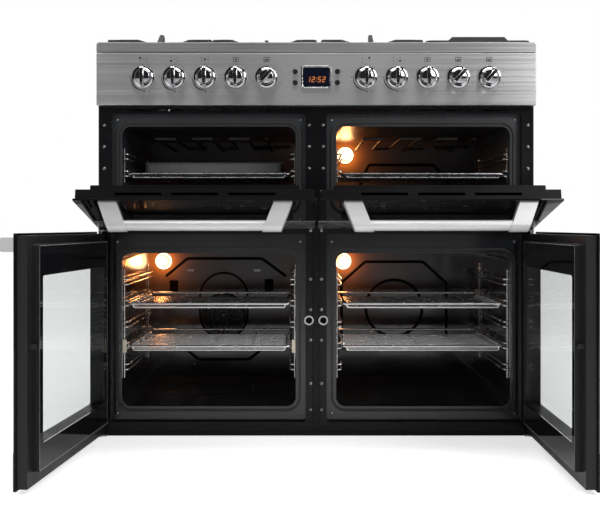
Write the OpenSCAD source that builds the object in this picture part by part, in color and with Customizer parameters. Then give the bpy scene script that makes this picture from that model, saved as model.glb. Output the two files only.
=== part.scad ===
// Dual fuel range cooker with two side-hung lower doors and two drop-down upper doors, in mm.
// X runs to the right, Y to the back and Z up, from the centre of the floor footprint.

/* [Body] */
// Width over the side panels
body_w = 1000; // [960:5:1060]
// Depth from the control panel face to the back panel
body_d = 600; // [580:5:640]
// Thickness of the folded outer sheets
sheet = 1.5; // [1:0.1:2]
// Gap left between separate sheets
fit_gap = 0.3; // [0.2:0.05:0.5]
// Height of the base frame that stands on the floor
base_h = 9.5; // [7:0.5:9.5]
// Width of the flange that rests on the floor
base_flange = 30; // [20:1:50]

/* [Ovens] */
// Width of the stile between a side panel and the ovens
side_stile = 28; // [26:1:36]
// Clear height of the lower ovens
lower_cavity_h = 354; // [340:2:370]
// Clear height of the upper ovens
upper_cavity_h = 203; // [195:1:225]
// Depth of the ovens behind their front flange
cavity_depth = 444; // [430:2:470]
// Corner radius of the oven mouths
cavity_corner = 21; // [12:1:30]
// Thickness of the enamelled liners
liner_sheet = 1.5; // [1:0.1:2]
// Width of the flange beside an oven mouth
flange_side = 23; // [20:1:26]
// Height of the flange below a lower oven mouth
flange_low = 33; // [28:1:40]
// Height of the flange above a lower oven mouth
flange_top = 44; // [38:1:50]
// Height of the flange below an upper oven mouth
upper_flange_low = 15; // [12:1:20]
// Height of the flange above an upper oven mouth
upper_flange_top = 28; // [24:1:34]
// Depth of the recess in which a closed door nests
recess_depth = 16; // [15:0.5:20]
// Diameter of the fan in the left oven
fan_d = 92; // [80:2:94]
// Diameter of the perforated fan guard
guard_d = 116; // [112:1:116]
// Diameter of the guard holes
guard_hole_d = 7; // [5:0.5:7]

/* [Front] */
// Height of the front below the lower recess
sill_h = 32; // [28:1:40]
// Height of the rail between the lower and the upper recess
mid_rail = 31; // [28:1:40]
// Height of the vent strip above the upper recess
vent_strip_h = 17; // [14:1:24]
// Width of the post between the left and the right ovens
centre_post = 48; // [44:1:56]
// Height of the control panel
panel_h = 118; // [110:1:130]
// Distance from the panel face back to the front frame
panel_depth = 23; // [18:1:30]
// Gap between the panel and the hob trim
hob_seam = 2; // [1:0.5:4]

/* [Doors] */
// Thickness of the outer glass
glass_t = 4; // [3:0.5:6]
// Depth of the door frame behind the outer glass
door_frame_t = 20; // [16:1:24]
// Depth of the door liner with the inner glass
door_liner_t = 13; // [10:0.5:13]
// Overhang of the outer glass past the door frame
glass_overhang = 4.5; // [3:0.5:6]
// Gap between a closed door frame and the front frame
door_gap = 3; // [2.5:0.5:4]
// Gap between the left and the right doors
middle_gap = 5; // [3:0.5:8]
// Height of a lower door's lower edge above the floor
lower_door_z = 5; // [4.5:0.5:6]
// Overlap of a lower door over the recess above the oven
lower_door_lap = 6; // [4:1:8]
// Overlap of an upper door past the recess top
upper_door_lap = 7; // [5:1:9]
// Inset of the door liner from the side edges
liner_side_inset = 30; // [29:0.5:34]
// Inset of the door liner from the top edge
liner_top_inset = 20; // [16:1:26]
// Inset of the door liner from the lower edge of a lower door
liner_low_inset = 29; // [28:1:34]
// Inset of the door liner from the lower edge of an upper door
upper_liner_low_inset = 24; // [22:1:30]
// Thickness of the folded door sheet
door_sheet = 1.5; // [1:0.1:2]
// Width of the black border beside a door's window
window_side = 50.25; // [45:0.25:70]
// Height of the clear window in a lower door
lower_window_h = 307; // [280:1:320]
// Height of that window above the door's lower edge
lower_window_z = 79; // [72:1:90]
// Height of the clear window in an upper door
upper_window_h = 112; // [90:1:120]
// Height of that window above the door's lower edge
upper_window_z = 84; // [76:1:96]
// Height of the steel strip along the foot of a door
strip_h = 70; // [50:1:74]
// Thickness of the steel strip
strip_t = 1; // [0.6:0.1:1.5]
// Distance of the hinge line in front of the front frame
hinge_out = 12; // [11.5:0.5:13]
// Distance of a lower hinge line from the door's side edge
hinge_in = 8; // [7.5:0.5:10]
// Distance of an upper hinge line from the door's lower edge
upper_hinge_up = 10; // [9:0.5:11]
// Radius of the hinge pins
hinge_pin_r = 2.5; // [2:0.1:2.6]
// Radial clearance of the hinge pins
hinge_clearance = 0.05; // [0.03:0.01:0.1]
// Thickness of the hinge brackets
bracket_t = 3; // [2:0.5:3]
// Opening of the left lower door as it stands
left_door_open = 95; // [0:1:105]
// Opening of the right lower door as it stands
right_door_open = 89; // [0:1:105]
// Opening of the upper doors as they stand
upper_door_open = 77.5; // [0:1:90]

/* [Handles] */
// Width of a handle post
post_w = 38; // [30:1:44]
// Height of a handle post
post_h = 27; // [22:1:30]
// Reach of a handle from the glass
handle_reach = 61; // [46:1:62]
// Distance from the door's side edge to a post
post_inset = 50; // [40:1:80]
// Inward slant of a post over its reach
post_slant = 23; // [0:1:30]
// Diameter of the handle bar
bar_d = 22; // [16:1:24]
// Distance from the door's top edge to the handle's centre
handle_drop = 22; // [18:1:30]

/* [Controls] */
// Distance between neighbouring knobs
knob_pitch = 70; // [64:1:74]
// Distance from the centre line to the nearest knob
knob_first = 113; // [105:1:125]
// Height of the knob centres above the panel's lower edge
knob_up = 63; // [50:1:66]
// Diameter of the knob skirt
knob_d = 52; // [44:1:58]
// Length of a knob along its axis
knob_h = 31; // [26:1:36]
// Gap between the panel and a knob skirt
knob_gap = 4; // [3.6:0.1:6]
// Radius of the knob spindles
spindle_r = 3; // [2.5:0.1:4]
// Radial clearance of knobs and taps on their spindles
spindle_clearance = 0.05; // [0.03:0.01:0.1]
// Turn of the oven knobs that stand off zero
knob_turn = 42; // [0:1:90]
// Travel of the gas taps when pushed
tap_travel = 3; // [2:0.1:3]
// Width of the display bezel
display_w = 69; // [60:1:78]
// Height of the display bezel
display_h = 53; // [46:1:58]
// Diameter of the clock buttons
button_d = 12; // [10:0.5:15]
// Distance of the clock buttons from the centre line
button_x = 48; // [45:1:54]
// Distance between the upper and the lower clock buttons
button_pitch = 25; // [20:1:30]
// Height of the clock buttons above the panel face
button_proud = 3; // [2.5:0.1:4]

/* [Inlets] */
// Distance of the inlets from the centre line
inlet_x = 430; // [420:5:450]
// Radius of the threaded gas inlet
inlet_r = 9.3; // [9:0.1:12]
// Depth of the gas inlet's thread
inlet_thread = 16; // [12:1:20]
// Length of the gas inlet past the back
inlet_out = 16; // [12:1:30]
// Radius of the cable entry
cable_entry_r = 11; // [9:0.5:16]
// Height of the cable entry above the floor
cable_z = 640; // [600:5:660]

/* [Hob] */
// Height of the hob trim
hob_h = 23; // [20:1:30]
// Width of the hob rim
hob_rim = 12; // [8:1:20]
// Depth of the hob deck below its rim
hob_well = 10; // [6:1:14]
// Rounding of the hob's upper edges
hob_corner = 7; // [4:1:9]
// Height of the pan supports above the hob rim
support_up = 38; // [30:1:44]
// Width of the cast bars
support_bar = 8; // [6:1:10]
// Depth of the pan supports
support_depth = 500; // [460:5:530]
// Distance of a front or rear burner from the hob's middle
burner_y = 128; // [115:1:140]
// Width of the griddle plate
griddle_w = 240; // [200:2:240]
// Depth of the griddle plate
griddle_depth = 540; // [440:5:550]

/* [Shelves] */
// Diameter of the shelf frame rods
shelf_rod = 6; // [5:0.5:7]
// Diameter of the shelf wires
shelf_wire = 3; // [2.5:0.5:4]
// Number of wires across a shelf
shelf_wires = 19; // [12:1:24]
// Depth of a shelf
shelf_depth = 372; // [340:2:390]
// Distance of a shelf's front rod behind the oven flange
shelf_front = 6; // [4:1:12]
// Distance of the side runners from the oven wall
runner_in = 13; // [11:0.5:16]
// Diameter of the runner wires
runner_d = 4; // [3:0.5:5]
// Height between the two wires of a runner pair
runner_pair = 12; // [11.5:0.5:14]
// Height between the shelf levels
level_pitch = 49.5; // [40:0.5:52]
// Height of the lowest runner above a lower oven's floor
level_first = 83; // [70:1:90]

/* [Hidden] */
$fn = 48;
SHELVES = ["shelf_left_high", "shelf_left_low", "shelf_right_high", "shelf_right_low",
           "shelf_upper_left", "shelf_upper_right"];
TAPS = [1, 2, 3, 6, 7];
SWITCHES = [4, 5, 8, 9, 10];

// Heights, from the floor up
lower_recess_z = sill_h;
lower_cavity_z = lower_recess_z + flange_low;
lower_recess_top = lower_cavity_z + lower_cavity_h + flange_top;
upper_recess_z = lower_recess_top + mid_rail;
upper_cavity_z = upper_recess_z + upper_flange_low;
upper_recess_top = upper_cavity_z + upper_cavity_h + upper_flange_top;
panel_z = upper_recess_top + vent_strip_h;
hob_z = panel_z + panel_h + hob_seam;
rim_z = hob_z + hob_h;
deck_z = rim_z - hob_well;

// Depths, from the panel face back
panel_y = -body_d / 2;
border_y = panel_y + panel_depth;
flange_y = border_y + recess_depth;
back_y = body_d / 2;
hinge_y = border_y - hinge_out;

// Widths
recess_x = centre_post / 2;
recess_w = body_w / 2 - recess_x - side_stile;
cavity_w = recess_w - 2 * flange_side;
oven_x = recess_x + recess_w / 2;
door_w = body_w / 2 - middle_gap / 2;
window_w = door_w - 2 * window_side;
casing_x = body_w / 2 - sheet;

// Doors
lower_door_h = lower_recess_top + lower_door_lap - lower_door_z;
upper_door_z = upper_recess_z - upper_hinge_up;
upper_door_h = upper_recess_top + upper_door_lap - upper_door_z;
upper_hinge_z = upper_door_z + upper_hinge_up;
shell_t = glass_t + door_frame_t;
hinge_from_face = shell_t + door_gap - hinge_out;
catch_z = lower_door_z + 260;
catch_x = 16.5;
catch_r = 8;
notch_x = 24;

// Controls
knob_z = panel_z + knob_up;
display_z = knob_z;
button_z = display_z;
neck_r = 9;
fan_shaft_r = 5;
fan_z = lower_cavity_z + 171;
arch_w = 137;
arch_z = [168, 355];
guard_step = 11.5;
bulb_d = 6;
tap_r = 4;
bore_depth = 16;

// Cooking zones, each with its place and its crown radius
hob_margin = 13;
hob_scale = (body_w - griddle_w - 24) / 736;
first_x = hob_margin + 120 * hob_scale - body_w / 2;
middle_x = hob_margin + 368 * hob_scale - body_w / 2;
last_x = hob_margin + 618 * hob_scale - body_w / 2;
BURNERS = [[first_x, -burner_y, 36], [first_x, burner_y, 44], [middle_x, 0, 58],
           [last_x, -burner_y, 36], [last_x, burner_y, 30]];
SUPPORTS = [[first_x, 234 * hob_scale], [middle_x, 242 * hob_scale], [last_x, 236 * hob_scale]];
zone_x = body_w / 2 - griddle_w / 2 - 6;
corner_up = 8;
corner_run = 46;
corner_fall = 24;
griddle_lip = 7;

function knob_x(n) = n <= 5 ? -knob_first - (5 - n) * knob_pitch : knob_first + (n - 6) * knob_pitch;
function knob_rest(n) = n == 5 || n == 9 || n == 10 ? knob_turn : 0;
function side_of(name) = name == "left" ? -1 : 1;
function level_z(n) = lower_cavity_z + level_first + n * level_pitch;
upper_level_z = upper_cavity_z + 88;

// A rectangle with true round corners, standing in the XZ plane once extruded
module round_rect(w, h, r) {
    union() {
        translate([-w / 2 + r, -h / 2]) square([w - 2 * r, h]);
        translate([-w / 2, -h / 2 + r]) square([w, h - 2 * r]);
        for (sx = [-1, 1], sz = [-1, 1])
            translate([sx * (w / 2 - r), sz * (h / 2 - r)]) circle(r);
    }
}

// Extrudes an XZ outline from the depth y over the length t
module slab(y, t) {
    translate([0, y + t, 0]) rotate([90, 0, 0]) linear_extrude(t) children();
}

module rod_x(x0, x1, y, z, d, sides = 24) {
    translate([x0, y, z]) rotate([0, 90, 0]) cylinder(h = x1 - x0, d = d, $fn = sides);
}

module rod_y(x, y0, y1, z, d, sides = 24) {
    translate([x, y1, z]) rotate([90, 0, 0]) cylinder(h = y1 - y0, d = d, $fn = sides);
}

// Wires that are welded across each other have eight flats
module wire_x(x0, x1, y, z, d) {
    rod_x(x0, x1, y, z, d, 8);
}

module wire_y(x, y0, y1, z, d) {
    rod_y(x, y0, y1, z, d, 8);
}

module both_sides() {
    children();
    mirror([1, 0, 0]) children();
}

module recess_outlines(grow) {
    for (s = [-1, 1]) {
        translate([s * oven_x, (lower_recess_z + lower_recess_top) / 2])
            round_rect(recess_w + 2 * grow, lower_recess_top - lower_recess_z + 2 * grow, 6 + grow);
        translate([s * oven_x, (upper_recess_z + upper_recess_top) / 2])
            round_rect(recess_w + 2 * grow, upper_recess_top - upper_recess_z + 2 * grow, 6 + grow);
    }
}

module base_frame() {
    color([0.1, 0.1, 0.1]) difference() {
        translate([-casing_x, border_y + fit_gap, 0])
            cube([2 * casing_x, back_y - border_y - 2 * fit_gap - sheet, base_h]);
        translate([-casing_x + sheet, border_y + fit_gap + sheet, sheet])
            cube([2 * (casing_x - sheet), back_y - border_y - 2 * fit_gap - 3 * sheet, base_h]);
        translate([-casing_x + base_flange, border_y + base_flange, -1])
            cube([2 * (casing_x - base_flange), back_y - border_y - 2 * base_flange, base_h]);
    }
}

module side_panels() {
    color([0.09, 0.09, 0.1]) both_sides() difference() {
        translate([casing_x + fit_gap, border_y, base_h + fit_gap])
            cube([sheet - fit_gap, back_y - border_y, hob_z - base_h - 2 * fit_gap]);
        for (i = [0:5]) translate([casing_x, back_y - 90, 700 + i * 14]) cube([2 * sheet, 60, 5]);
    }
    color([0.09, 0.09, 0.1]) both_sides()
        translate([casing_x - 18, back_y - sheet, base_h + fit_gap])
            cube([18 + 2 * fit_gap, sheet, hob_z - base_h - 2 * fit_gap]);
}

module back_panel() {
    w = 2 * casing_x - 4;
    color([0.6, 0.61, 0.62]) difference() {
        translate([-w / 2, back_y - 2 * sheet - fit_gap, base_h + fit_gap])
            cube([w, sheet, hob_z - base_h - 2 * fit_gap]);
        for (s = [-1, 1], i = [0:7])
            translate([s * oven_x - 90, back_y - 4 * sheet, 690 + i * 16]) cube([180, 6 * sheet, 6]);
        for (s = [-1, 1], i = [0:4])
            translate([s * oven_x - 70, back_y - 4 * sheet, 60 + i * 16]) cube([140, 6 * sheet, 6]);
        translate([-inlet_x, back_y + sheet, knob_z]) rotate([90, 0, 0])
            cylinder(h = 6 * sheet, r = inlet_r + 8);
        translate([inlet_x, back_y + sheet, cable_z]) rotate([90, 0, 0])
            cylinder(h = 6 * sheet, r = cable_entry_r);
    }
}

module front_frame() {
    z0 = base_h + fit_gap;
    z1 = panel_z - fit_gap;
    color([0.06, 0.06, 0.07]) difference() {
        union() {
            slab(border_y, sheet) difference() {
                translate([-casing_x, z0]) square([2 * casing_x, z1 - z0]);
                recess_outlines(0);
            }
            slab(border_y, recess_depth) difference() {
                recess_outlines(sheet);
                recess_outlines(0);
            }
            slab(border_y, recess_depth) difference() {
                translate([-casing_x, z0]) square([2 * casing_x, z1 - z0]);
                translate([-casing_x + sheet, z0 + sheet])
                    square([2 * (casing_x - sheet), z1 - z0 - 2 * sheet]);
            }
        }
        // Cooling slots in the vent strip
        for (s = [-1, 1], i = [-2:2])
            translate([s * oven_x + i * 82 - 31, border_y - 1, panel_z - 11]) cube([62, sheet + 2, 4]);
        // Grooves down the centre post
        for (x = [-8, -3.5, 3.5, 8])
            translate([x - 0.8, border_y - 1, z0 + 20]) cube([1.6, 1.7, z1 - z0 - 45]);
        // Catch holes in the post
        for (s = [-1, 1])
            translate([s * catch_x, border_y + 2 * sheet, catch_z]) rotate([90, 0, 0])
                cylinder(h = 4 * sheet, r = catch_r);
    }
}

// An enamelled box with a flat front flange that closes the recess behind the doors
module oven(h, z, flange_z0, flange_z1) {
    mid = z + h / 2;
    depth = cavity_depth;
    difference() {
        union() {
            slab(flange_y, liner_sheet)
                translate([0, (flange_z0 + flange_z1) / 2])
                    round_rect(recess_w + 2 * sheet, flange_z1 - flange_z0 + 2 * sheet, 7);
            slab(flange_y, depth + liner_sheet)
                translate([0, mid])
                    round_rect(cavity_w + 2 * liner_sheet, h + 2 * liner_sheet,
                               cavity_corner + liner_sheet);
        }
        slab(flange_y - 1, depth + 1) translate([0, mid]) round_rect(cavity_w, h, cavity_corner);
    }
}

// Beads pressed into the back wall of an oven
module bead(points, w, closed = true) {
    n = len(points);
    for (i = [0:n - (closed ? 1 : 2)]) {
        a = points[i];
        b = points[(i + 1) % n];
        d = norm(b - a);
        translate([a[0], flange_y + cavity_depth, a[1]])
            rotate([0, -atan2(b[1] - a[1], b[0] - a[0]), 0])
                translate([0, -1.6, -w / 2]) cube([d, 1.7, w]);
    }
}

module ring_bead(x, z, r, w) {
    slab(flange_y + cavity_depth - 1.6, 1.7) translate([x, z]) difference() {
        circle(r + w / 2);
        circle(r - w / 2);
    }
}

// An arch pressed round the fan
module arch_bead(w) {
    slab(flange_y + cavity_depth - 1.6, 1.7) translate([0, (arch_z[0] + arch_z[1]) / 2]) difference() {
        round_rect(arch_w, arch_z[1] - arch_z[0], arch_w / 2 - 0.5);
        round_rect(arch_w - 2 * w, arch_z[1] - arch_z[0] - 2 * w, arch_w / 2 - w - 0.5);
    }
}

module lower_ovens() {
    z = lower_cavity_z;
    back_z = z + 190;
    color([0.08, 0.08, 0.09]) {
        translate([-oven_x, 0, 0]) difference() {
            union() {
                oven(lower_cavity_h, z, lower_recess_z, lower_recess_top);
                bead([[-120, z + 88], [-70, z + 48], [70, z + 48], [120, z + 88]], 6, false);
                bead([[-160, z + lower_cavity_h - 76], [-101, z + lower_cavity_h - 27],
                      [105, z + lower_cavity_h - 27], [172, z + lower_cavity_h - 76]], 6, false);
                arch_bead(5);
            }
            slab(flange_y + cavity_depth - 5, 12) translate([0, fan_z]) circle(guard_d / 2 - 12);
        }
        translate([oven_x, 0, 0]) union() {
            oven(lower_cavity_h, lower_cavity_z, lower_recess_z, lower_recess_top);
            bead([[-170, back_z - 110], [-170, back_z + 70], [-105, back_z + 128],
                  [55, back_z + 128], [120, back_z + 70], [120, back_z - 110]], 7);
            ring_bead(-25, back_z, 78, 7);
        }
    }
}

module upper_ovens() {
    z = upper_cavity_z;
    color([0.08, 0.08, 0.09]) for (s = [-1, 1]) translate([s * oven_x, 0, 0]) union() {
        oven(upper_cavity_h, z, upper_recess_z, upper_recess_top);
        bead([[-130, z + 60], [-95, z + 142], [85, z + 142], [150, z + 60]], 7);
    }
}

module seal(h, z) {
    mid = z + h / 2;
    w = cavity_w + 14;
    slab(flange_y - 4, 4 - fit_gap) translate([0, mid]) difference() {
        round_rect(w + 10, h + 24, cavity_corner + 12);
        round_rect(w, h + 14, cavity_corner + 7);
    }
}

module door_seals() {
    color([0.12, 0.12, 0.12]) for (s = [-1, 1]) translate([s * oven_x, 0, 0]) {
        seal(lower_cavity_h, lower_cavity_z);
        seal(upper_cavity_h, upper_cavity_z);
    }
}

module control_panel() {
    color([0.72, 0.72, 0.72]) difference() {
        translate([-body_w / 2, panel_y, panel_z]) cube([body_w, panel_depth + 24, panel_h]);
        translate([-body_w / 2 + sheet, panel_y + sheet, panel_z + sheet])
            cube([body_w - 2 * sheet, panel_depth + 24, panel_h - 2 * sheet]);
        // The returns stop in front of the side panels
        for (s = [-1, 1])
            translate([s * body_w / 2 - 2 * sheet, border_y - fit_gap, panel_z - 1])
                cube([4 * sheet, 60, panel_h + 2]);
        for (n = [1:10])
            translate([knob_x(n), panel_y + 2 * sheet, knob_z]) rotate([90, 0, 0])
                cylinder(h = 4 * sheet, r = 6);
        slab(panel_y - 1, sheet + 2) translate([0, display_z])
            square([display_w - 12, display_h - 12], center = true);
        for (n = [1:4])
            translate([button_place(n)[0], panel_y + 2 * sheet, button_place(n)[1]])
                rotate([90, 0, 0]) cylinder(h = 4 * sheet, d = button_d - 4 + 0.6);
    }
}

function button_place(n) = [n <= 2 ? -button_x : button_x,
                            button_z + (n % 2 == 1 ? 1 : -1) * button_pitch / 2];

module display() {
    color([0.05, 0.05, 0.06]) union() {
        slab(panel_y - 3.5, 3.5 - fit_gap) translate([0, display_z]) difference() {
            round_rect(display_w, display_h, 6);
            round_rect(display_w - 7, display_h - 7, 3);
        }
        slab(panel_y - 2.2, 1.9) translate([0, display_z])
            square([display_w - 6, display_h - 6], center = true);
        slab(panel_y - 1, 22) translate([0, display_z])
            square([display_w - 13, display_h - 13], center = true);
    }
}

module button(n) {
    p = button_place(n);
    color([0.05, 0.05, 0.05]) translate([p[0], panel_y, p[1]]) rotate([90, 0, 0]) union() {
        translate([0, 0, 2]) cylinder(h = button_proud - 1, d = button_d);
        translate([0, 0, -12]) cylinder(h = 14.5, d = button_d - 4);
    }
}

module gear_block(n, tap) {
    x = knob_x(n);
    color([0.7, 0.66, 0.5]) difference() {
        union() {
            translate([x, panel_y + 34, knob_z]) rotate([90, 0, 0])
                cylinder(h = 34 - sheet - fit_gap, r = neck_r);
            translate([x - 14, panel_y + 32, knob_z - 16]) cube([28, tap ? 34 : 27, 32]);
            if (!tap)
                translate([x, panel_y + 34, knob_z]) rotate([90, 0, 0])
                    cylinder(h = 34 + knob_gap + bore_depth - 1, r = spindle_r);
        }
        if (tap)
            translate([x, panel_y + 46, knob_z]) rotate([90, 0, 0])
                cylinder(h = 50, r = tap_r + spindle_clearance);
    }
}

module control_gear() {
    tip = back_y + inlet_out;
    difference() {
        union() {
            for (n = TAPS) gear_block(n, true);
            color([0.7, 0.66, 0.5]) {
                rod_x(-inlet_x, knob_x(7) + 20, panel_y + 72, knob_z, 18);
                rod_y(-inlet_x, panel_y + 72, tip - 4, knob_z, 17);
                rod_y(-inlet_x, tip - inlet_thread - 8, tip, knob_z, 2 * inlet_r + 10);
            }
        }
        rod_y(-inlet_x, tip - inlet_thread, tip + 1, knob_z, 2 * inlet_r);
    }
    for (n = SWITCHES) gear_block(n, false);
    // Housing behind the clock with the switches of its buttons
    color([0.2, 0.2, 0.2]) difference() {
        translate([-60, panel_y + sheet + fit_gap, display_z - 24]) cube([120, 26, 48]);
        slab(panel_y - 1, 22.5) translate([0, display_z])
            square([display_w - 12.4, display_h - 12.4], center = true);
        for (n = [1:4])
            translate([button_place(n)[0], panel_y + 16, button_place(n)[1]]) rotate([90, 0, 0])
                cylinder(h = 20, d = button_d - 4 + 2 * spindle_clearance);
    }
    motor();
}

module tap_stem(n) {
    color([0.75, 0.7, 0.5]) translate([knob_x(n), 0, knob_z]) union() {
        translate([0, panel_y + 3, 0]) rotate([90, 0, 0])
            cylinder(h = 3 + knob_gap + bore_depth - 1, r = spindle_r);
        translate([0, panel_y + 42, 0]) rotate([90, 0, 0]) cylinder(h = 39, r = tap_r);
    }
}

// A bell-shaped knob with a bar grip; its axis runs forwards and its bore is open at the back
module knob(n) {
    r = knob_d / 2;
    grip_w = 9;
    face = 13;
    color([0.8, 0.8, 0.82])
        translate([knob_x(n), panel_y - knob_gap, knob_z])
            rotate([90, 0, 0]) rotate([0, 0, -knob_rest(n)]) difference() {
                union() {
                    rotate_extrude() polygon(concat(
                        [[0, 0], [r, 0], [r, 2.5]],
                        [for (a = [0:10:90]) [r - 1 - 8 * sin(a), 2.5 + (face - 2.5) * (1 - cos(a))]],
                        [[r - 11, face + 1.5], [0, face + 1.5]]));
                    intersection() {
                        translate([-grip_w / 2, -r, face - 2]) cube([grip_w, 2 * r, knob_h - face + 2]);
                        translate([0, 0, 0]) cylinder(h = knob_h, r1 = r, r2 = r - 6);
                    }
                }
                translate([0, 0, -1]) cylinder(h = bore_depth + 1, r = spindle_r + spindle_clearance);
                // Pointer line along the upper end of the grip
                translate([-0.6, 4, knob_h - 0.5]) cube([1.2, r, 1]);
            }
}

module hob_top() {
    w = body_w;
    color([0.74, 0.74, 0.74]) difference() {
        translate([0, back_y, 0]) rotate([90, 0, 0]) linear_extrude(body_d) union() {
            translate([-w / 2, hob_z]) square([w, hob_h - hob_corner]);
            translate([-w / 2 + hob_corner, hob_z]) square([w - 2 * hob_corner, hob_h]);
            for (s = [-1, 1]) translate([s * (w / 2 - hob_corner), rim_z - hob_corner])
                circle(hob_corner);
        }
        // The well of the hob and the hollow below the deck
        translate([-w / 2 + hob_rim, panel_y + hob_rim, deck_z])
            cube([w - 2 * hob_rim, body_d - 2 * hob_rim, 2 * hob_well]);
        translate([-w / 2 + sheet, panel_y + sheet, hob_z - 1])
            cube([w - 2 * sheet, body_d - 2 * sheet, deck_z - hob_z - sheet + 1]);
        for (b = BURNERS) translate([b[0], b[1], hob_z]) cylinder(h = hob_h, r = b[2] - 12);
        translate([zone_x - griddle_w / 2 + 12, -griddle_depth / 2 + 12, hob_z])
            cube([griddle_w - 24, griddle_depth - 24, hob_h]);
    }
}

module burner_body(r) {
    slots = floor(r * 0.7);
    difference() {
        union() {
            translate([0, 0, deck_z + fit_gap]) cylinder(h = 8, r1 = r + 3, r2 = r);
            translate([0, 0, deck_z - 16]) cylinder(h = 30, r = r - 13);
            translate([0, 0, deck_z + 8]) cylinder(h = 10, r = r - 4);
        }
        for (i = [0:slots - 1]) rotate([0, 0, i * 360 / slots])
            translate([r - 12, -0.9, deck_z + 11]) cube([20, 1.8, 4.5]);
    }
}

module burner_bodies() {
    color([0.62, 0.62, 0.6]) for (b = BURNERS) translate([b[0], b[1], 0]) burner_body(b[2]);
}

module burner_caps() {
    color([0.07, 0.07, 0.07]) for (b = BURNERS)
        translate([b[0], b[1], deck_z + 18 + fit_gap]) rotate_extrude() polygon([[0, 0],
            [b[2] - 3, 0], [b[2] - 2, 1.5], [b[2] - 2, 3], [b[2] - 6, 5.5], [0, 7]]);
}

// A cast finger that rises from the frame and falls towards the burner
module finger(outer, inner, angle) {
    top = rim_z + support_up;
    low = rim_z - 3;
    rotate([0, 0, angle]) translate([0, support_bar / 2, 0]) rotate([90, 0, 0])
        linear_extrude(support_bar) polygon([[outer, low], [outer, top - 4], [outer - 4, top],
            [inner + 30, top], [inner, top - 9], [inner, top - 16], [inner + 30, low + 9],
            [inner + 44, low]]);
}

// A finger that is high near the burner and falls towards the end of the frame
module end_finger(outer, inner, angle) {
    top = rim_z + support_up;
    low = rim_z - 3;
    rotate([0, 0, angle]) translate([0, support_bar / 2, 0]) rotate([90, 0, 0])
        linear_extrude(support_bar) polygon([[outer, low], [outer, low + 9], [inner + 26, top],
            [inner + 6, top], [inner, top - 5], [inner, top - 16], [inner + 30, low + 9],
            [inner + 44, low]]);
}

// The frame's bar is higher at a corner and slopes down to the plain bar
module corner_bar(length) {
    low = rim_z - 3;
    rotate([90, 0, 0]) linear_extrude(support_bar) polygon([[0, low], [0, low + 10 + corner_up - 2],
        [2, low + 10 + corner_up], [length, low + 10 + corner_up], [length + corner_fall, low + 9],
        [length + corner_fall, low]]);
}

module support(w) {
    low = rim_z - 3;
    d = support_depth;
    bar = support_bar;
    union() {
        for (sx = [0, 1], sy = [0, 1]) mirror([sx, 0, 0]) mirror([0, sy, 0])
            translate([-w / 2, bar - d / 2, 0]) corner_bar(corner_run);
        difference() {
            translate([-w / 2, -d / 2, low]) cube([w, d, 10]);
            translate([-w / 2 + bar, -d / 2 + bar, low - 1]) cube([w - 2 * bar, d - 2 * bar, 12]);
        }
        for (sx = [-1, 1], sy = [-1, 1])
            translate([sx * (w / 2 - 7), sy * (d / 2 - 7), deck_z + fit_gap])
                cylinder(h = low - deck_z + 2, r1 = 4.5, r2 = 6, $fn = 24);
    }
}

module pan_supports() {
    d = support_depth / 2;
    low = rim_z - 3;
    color([0.1, 0.1, 0.1]) {
        for (i = [0, 2]) translate([SUPPORTS[i][0], 0, 0]) union() {
            w = SUPPORTS[i][1];
            support(w);
            translate([-w / 2 + 2, -support_bar / 2, low]) cube([w - 4, support_bar, 10]);
            for (s = [-1, 1]) translate([0, s * burner_y, 0]) {
                finger(w / 2 - 1, 36, 0);
                finger(w / 2 - 1, 36, 180);
                end_finger(d - burner_y - 1, 36, s * 90);
                finger(burner_y - 1, 36, -s * 90);
            }
        }
        translate([SUPPORTS[1][0], 0, 0]) union() {
            w = SUPPORTS[1][1];
            support(w);
            for (s = [-1, 1]) {
                translate([-w / 2 + 2, s * burner_y - support_bar / 2, low])
                    cube([w - 4, support_bar, 10]);
                for (a = [0, 180]) translate([0, s * burner_y, 0]) finger(w / 2 - 1, 60, a);
            }
            for (a = [0, 180]) finger(w / 2 - 1, 44, a);
            for (a = [90, 270]) finger(burner_y - 1, 44, a);
        }
    }
}

module hotplate_glass() {
    color([0.04, 0.04, 0.05]) translate([zone_x, 0, deck_z + fit_gap]) linear_extrude(4)
        round_rect(griddle_w - 16, griddle_depth - 16, 6);
}

module griddle_plate() {
    z = deck_z + fit_gap + 4 + fit_gap;
    rim_top = rim_z + 10;
    color([0.08, 0.08, 0.08]) translate([zone_x, 0, 0]) union() {
        difference() {
            union() {
                translate([0, 0, z]) linear_extrude(rim_top - z)
                    round_rect(griddle_w - 2 * griddle_lip, griddle_depth - 2 * griddle_lip, 10);
                // Lip that overhangs the hob rim
                translate([0, 0, rim_z + fit_gap]) linear_extrude(rim_top - rim_z - fit_gap)
                    round_rect(griddle_w, griddle_depth, 14);
            }
            translate([0, 0, z + 5]) linear_extrude(rim_top - z)
                round_rect(griddle_w - 2 * griddle_lip - 12, griddle_depth - 2 * griddle_lip - 12, 6);
        }
        // Ribs of the griddling half
        for (i = [-9:9]) translate([i * 10.5 - 1.5, 8, z + 4]) cube([3, griddle_depth / 2 - 34, 4]);
        // Raised grips at the front and the back
        for (s = [-1, 1]) translate([0, s * (griddle_depth / 2 - 5), 0]) rotate([90, 0, 0])
            translate([0, 0, -4]) linear_extrude(8)
                polygon([[-72, rim_top - 3], [-60, rim_top + 8], [60, rim_top + 8], [72, rim_top - 3]]);
    }
}

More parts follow.
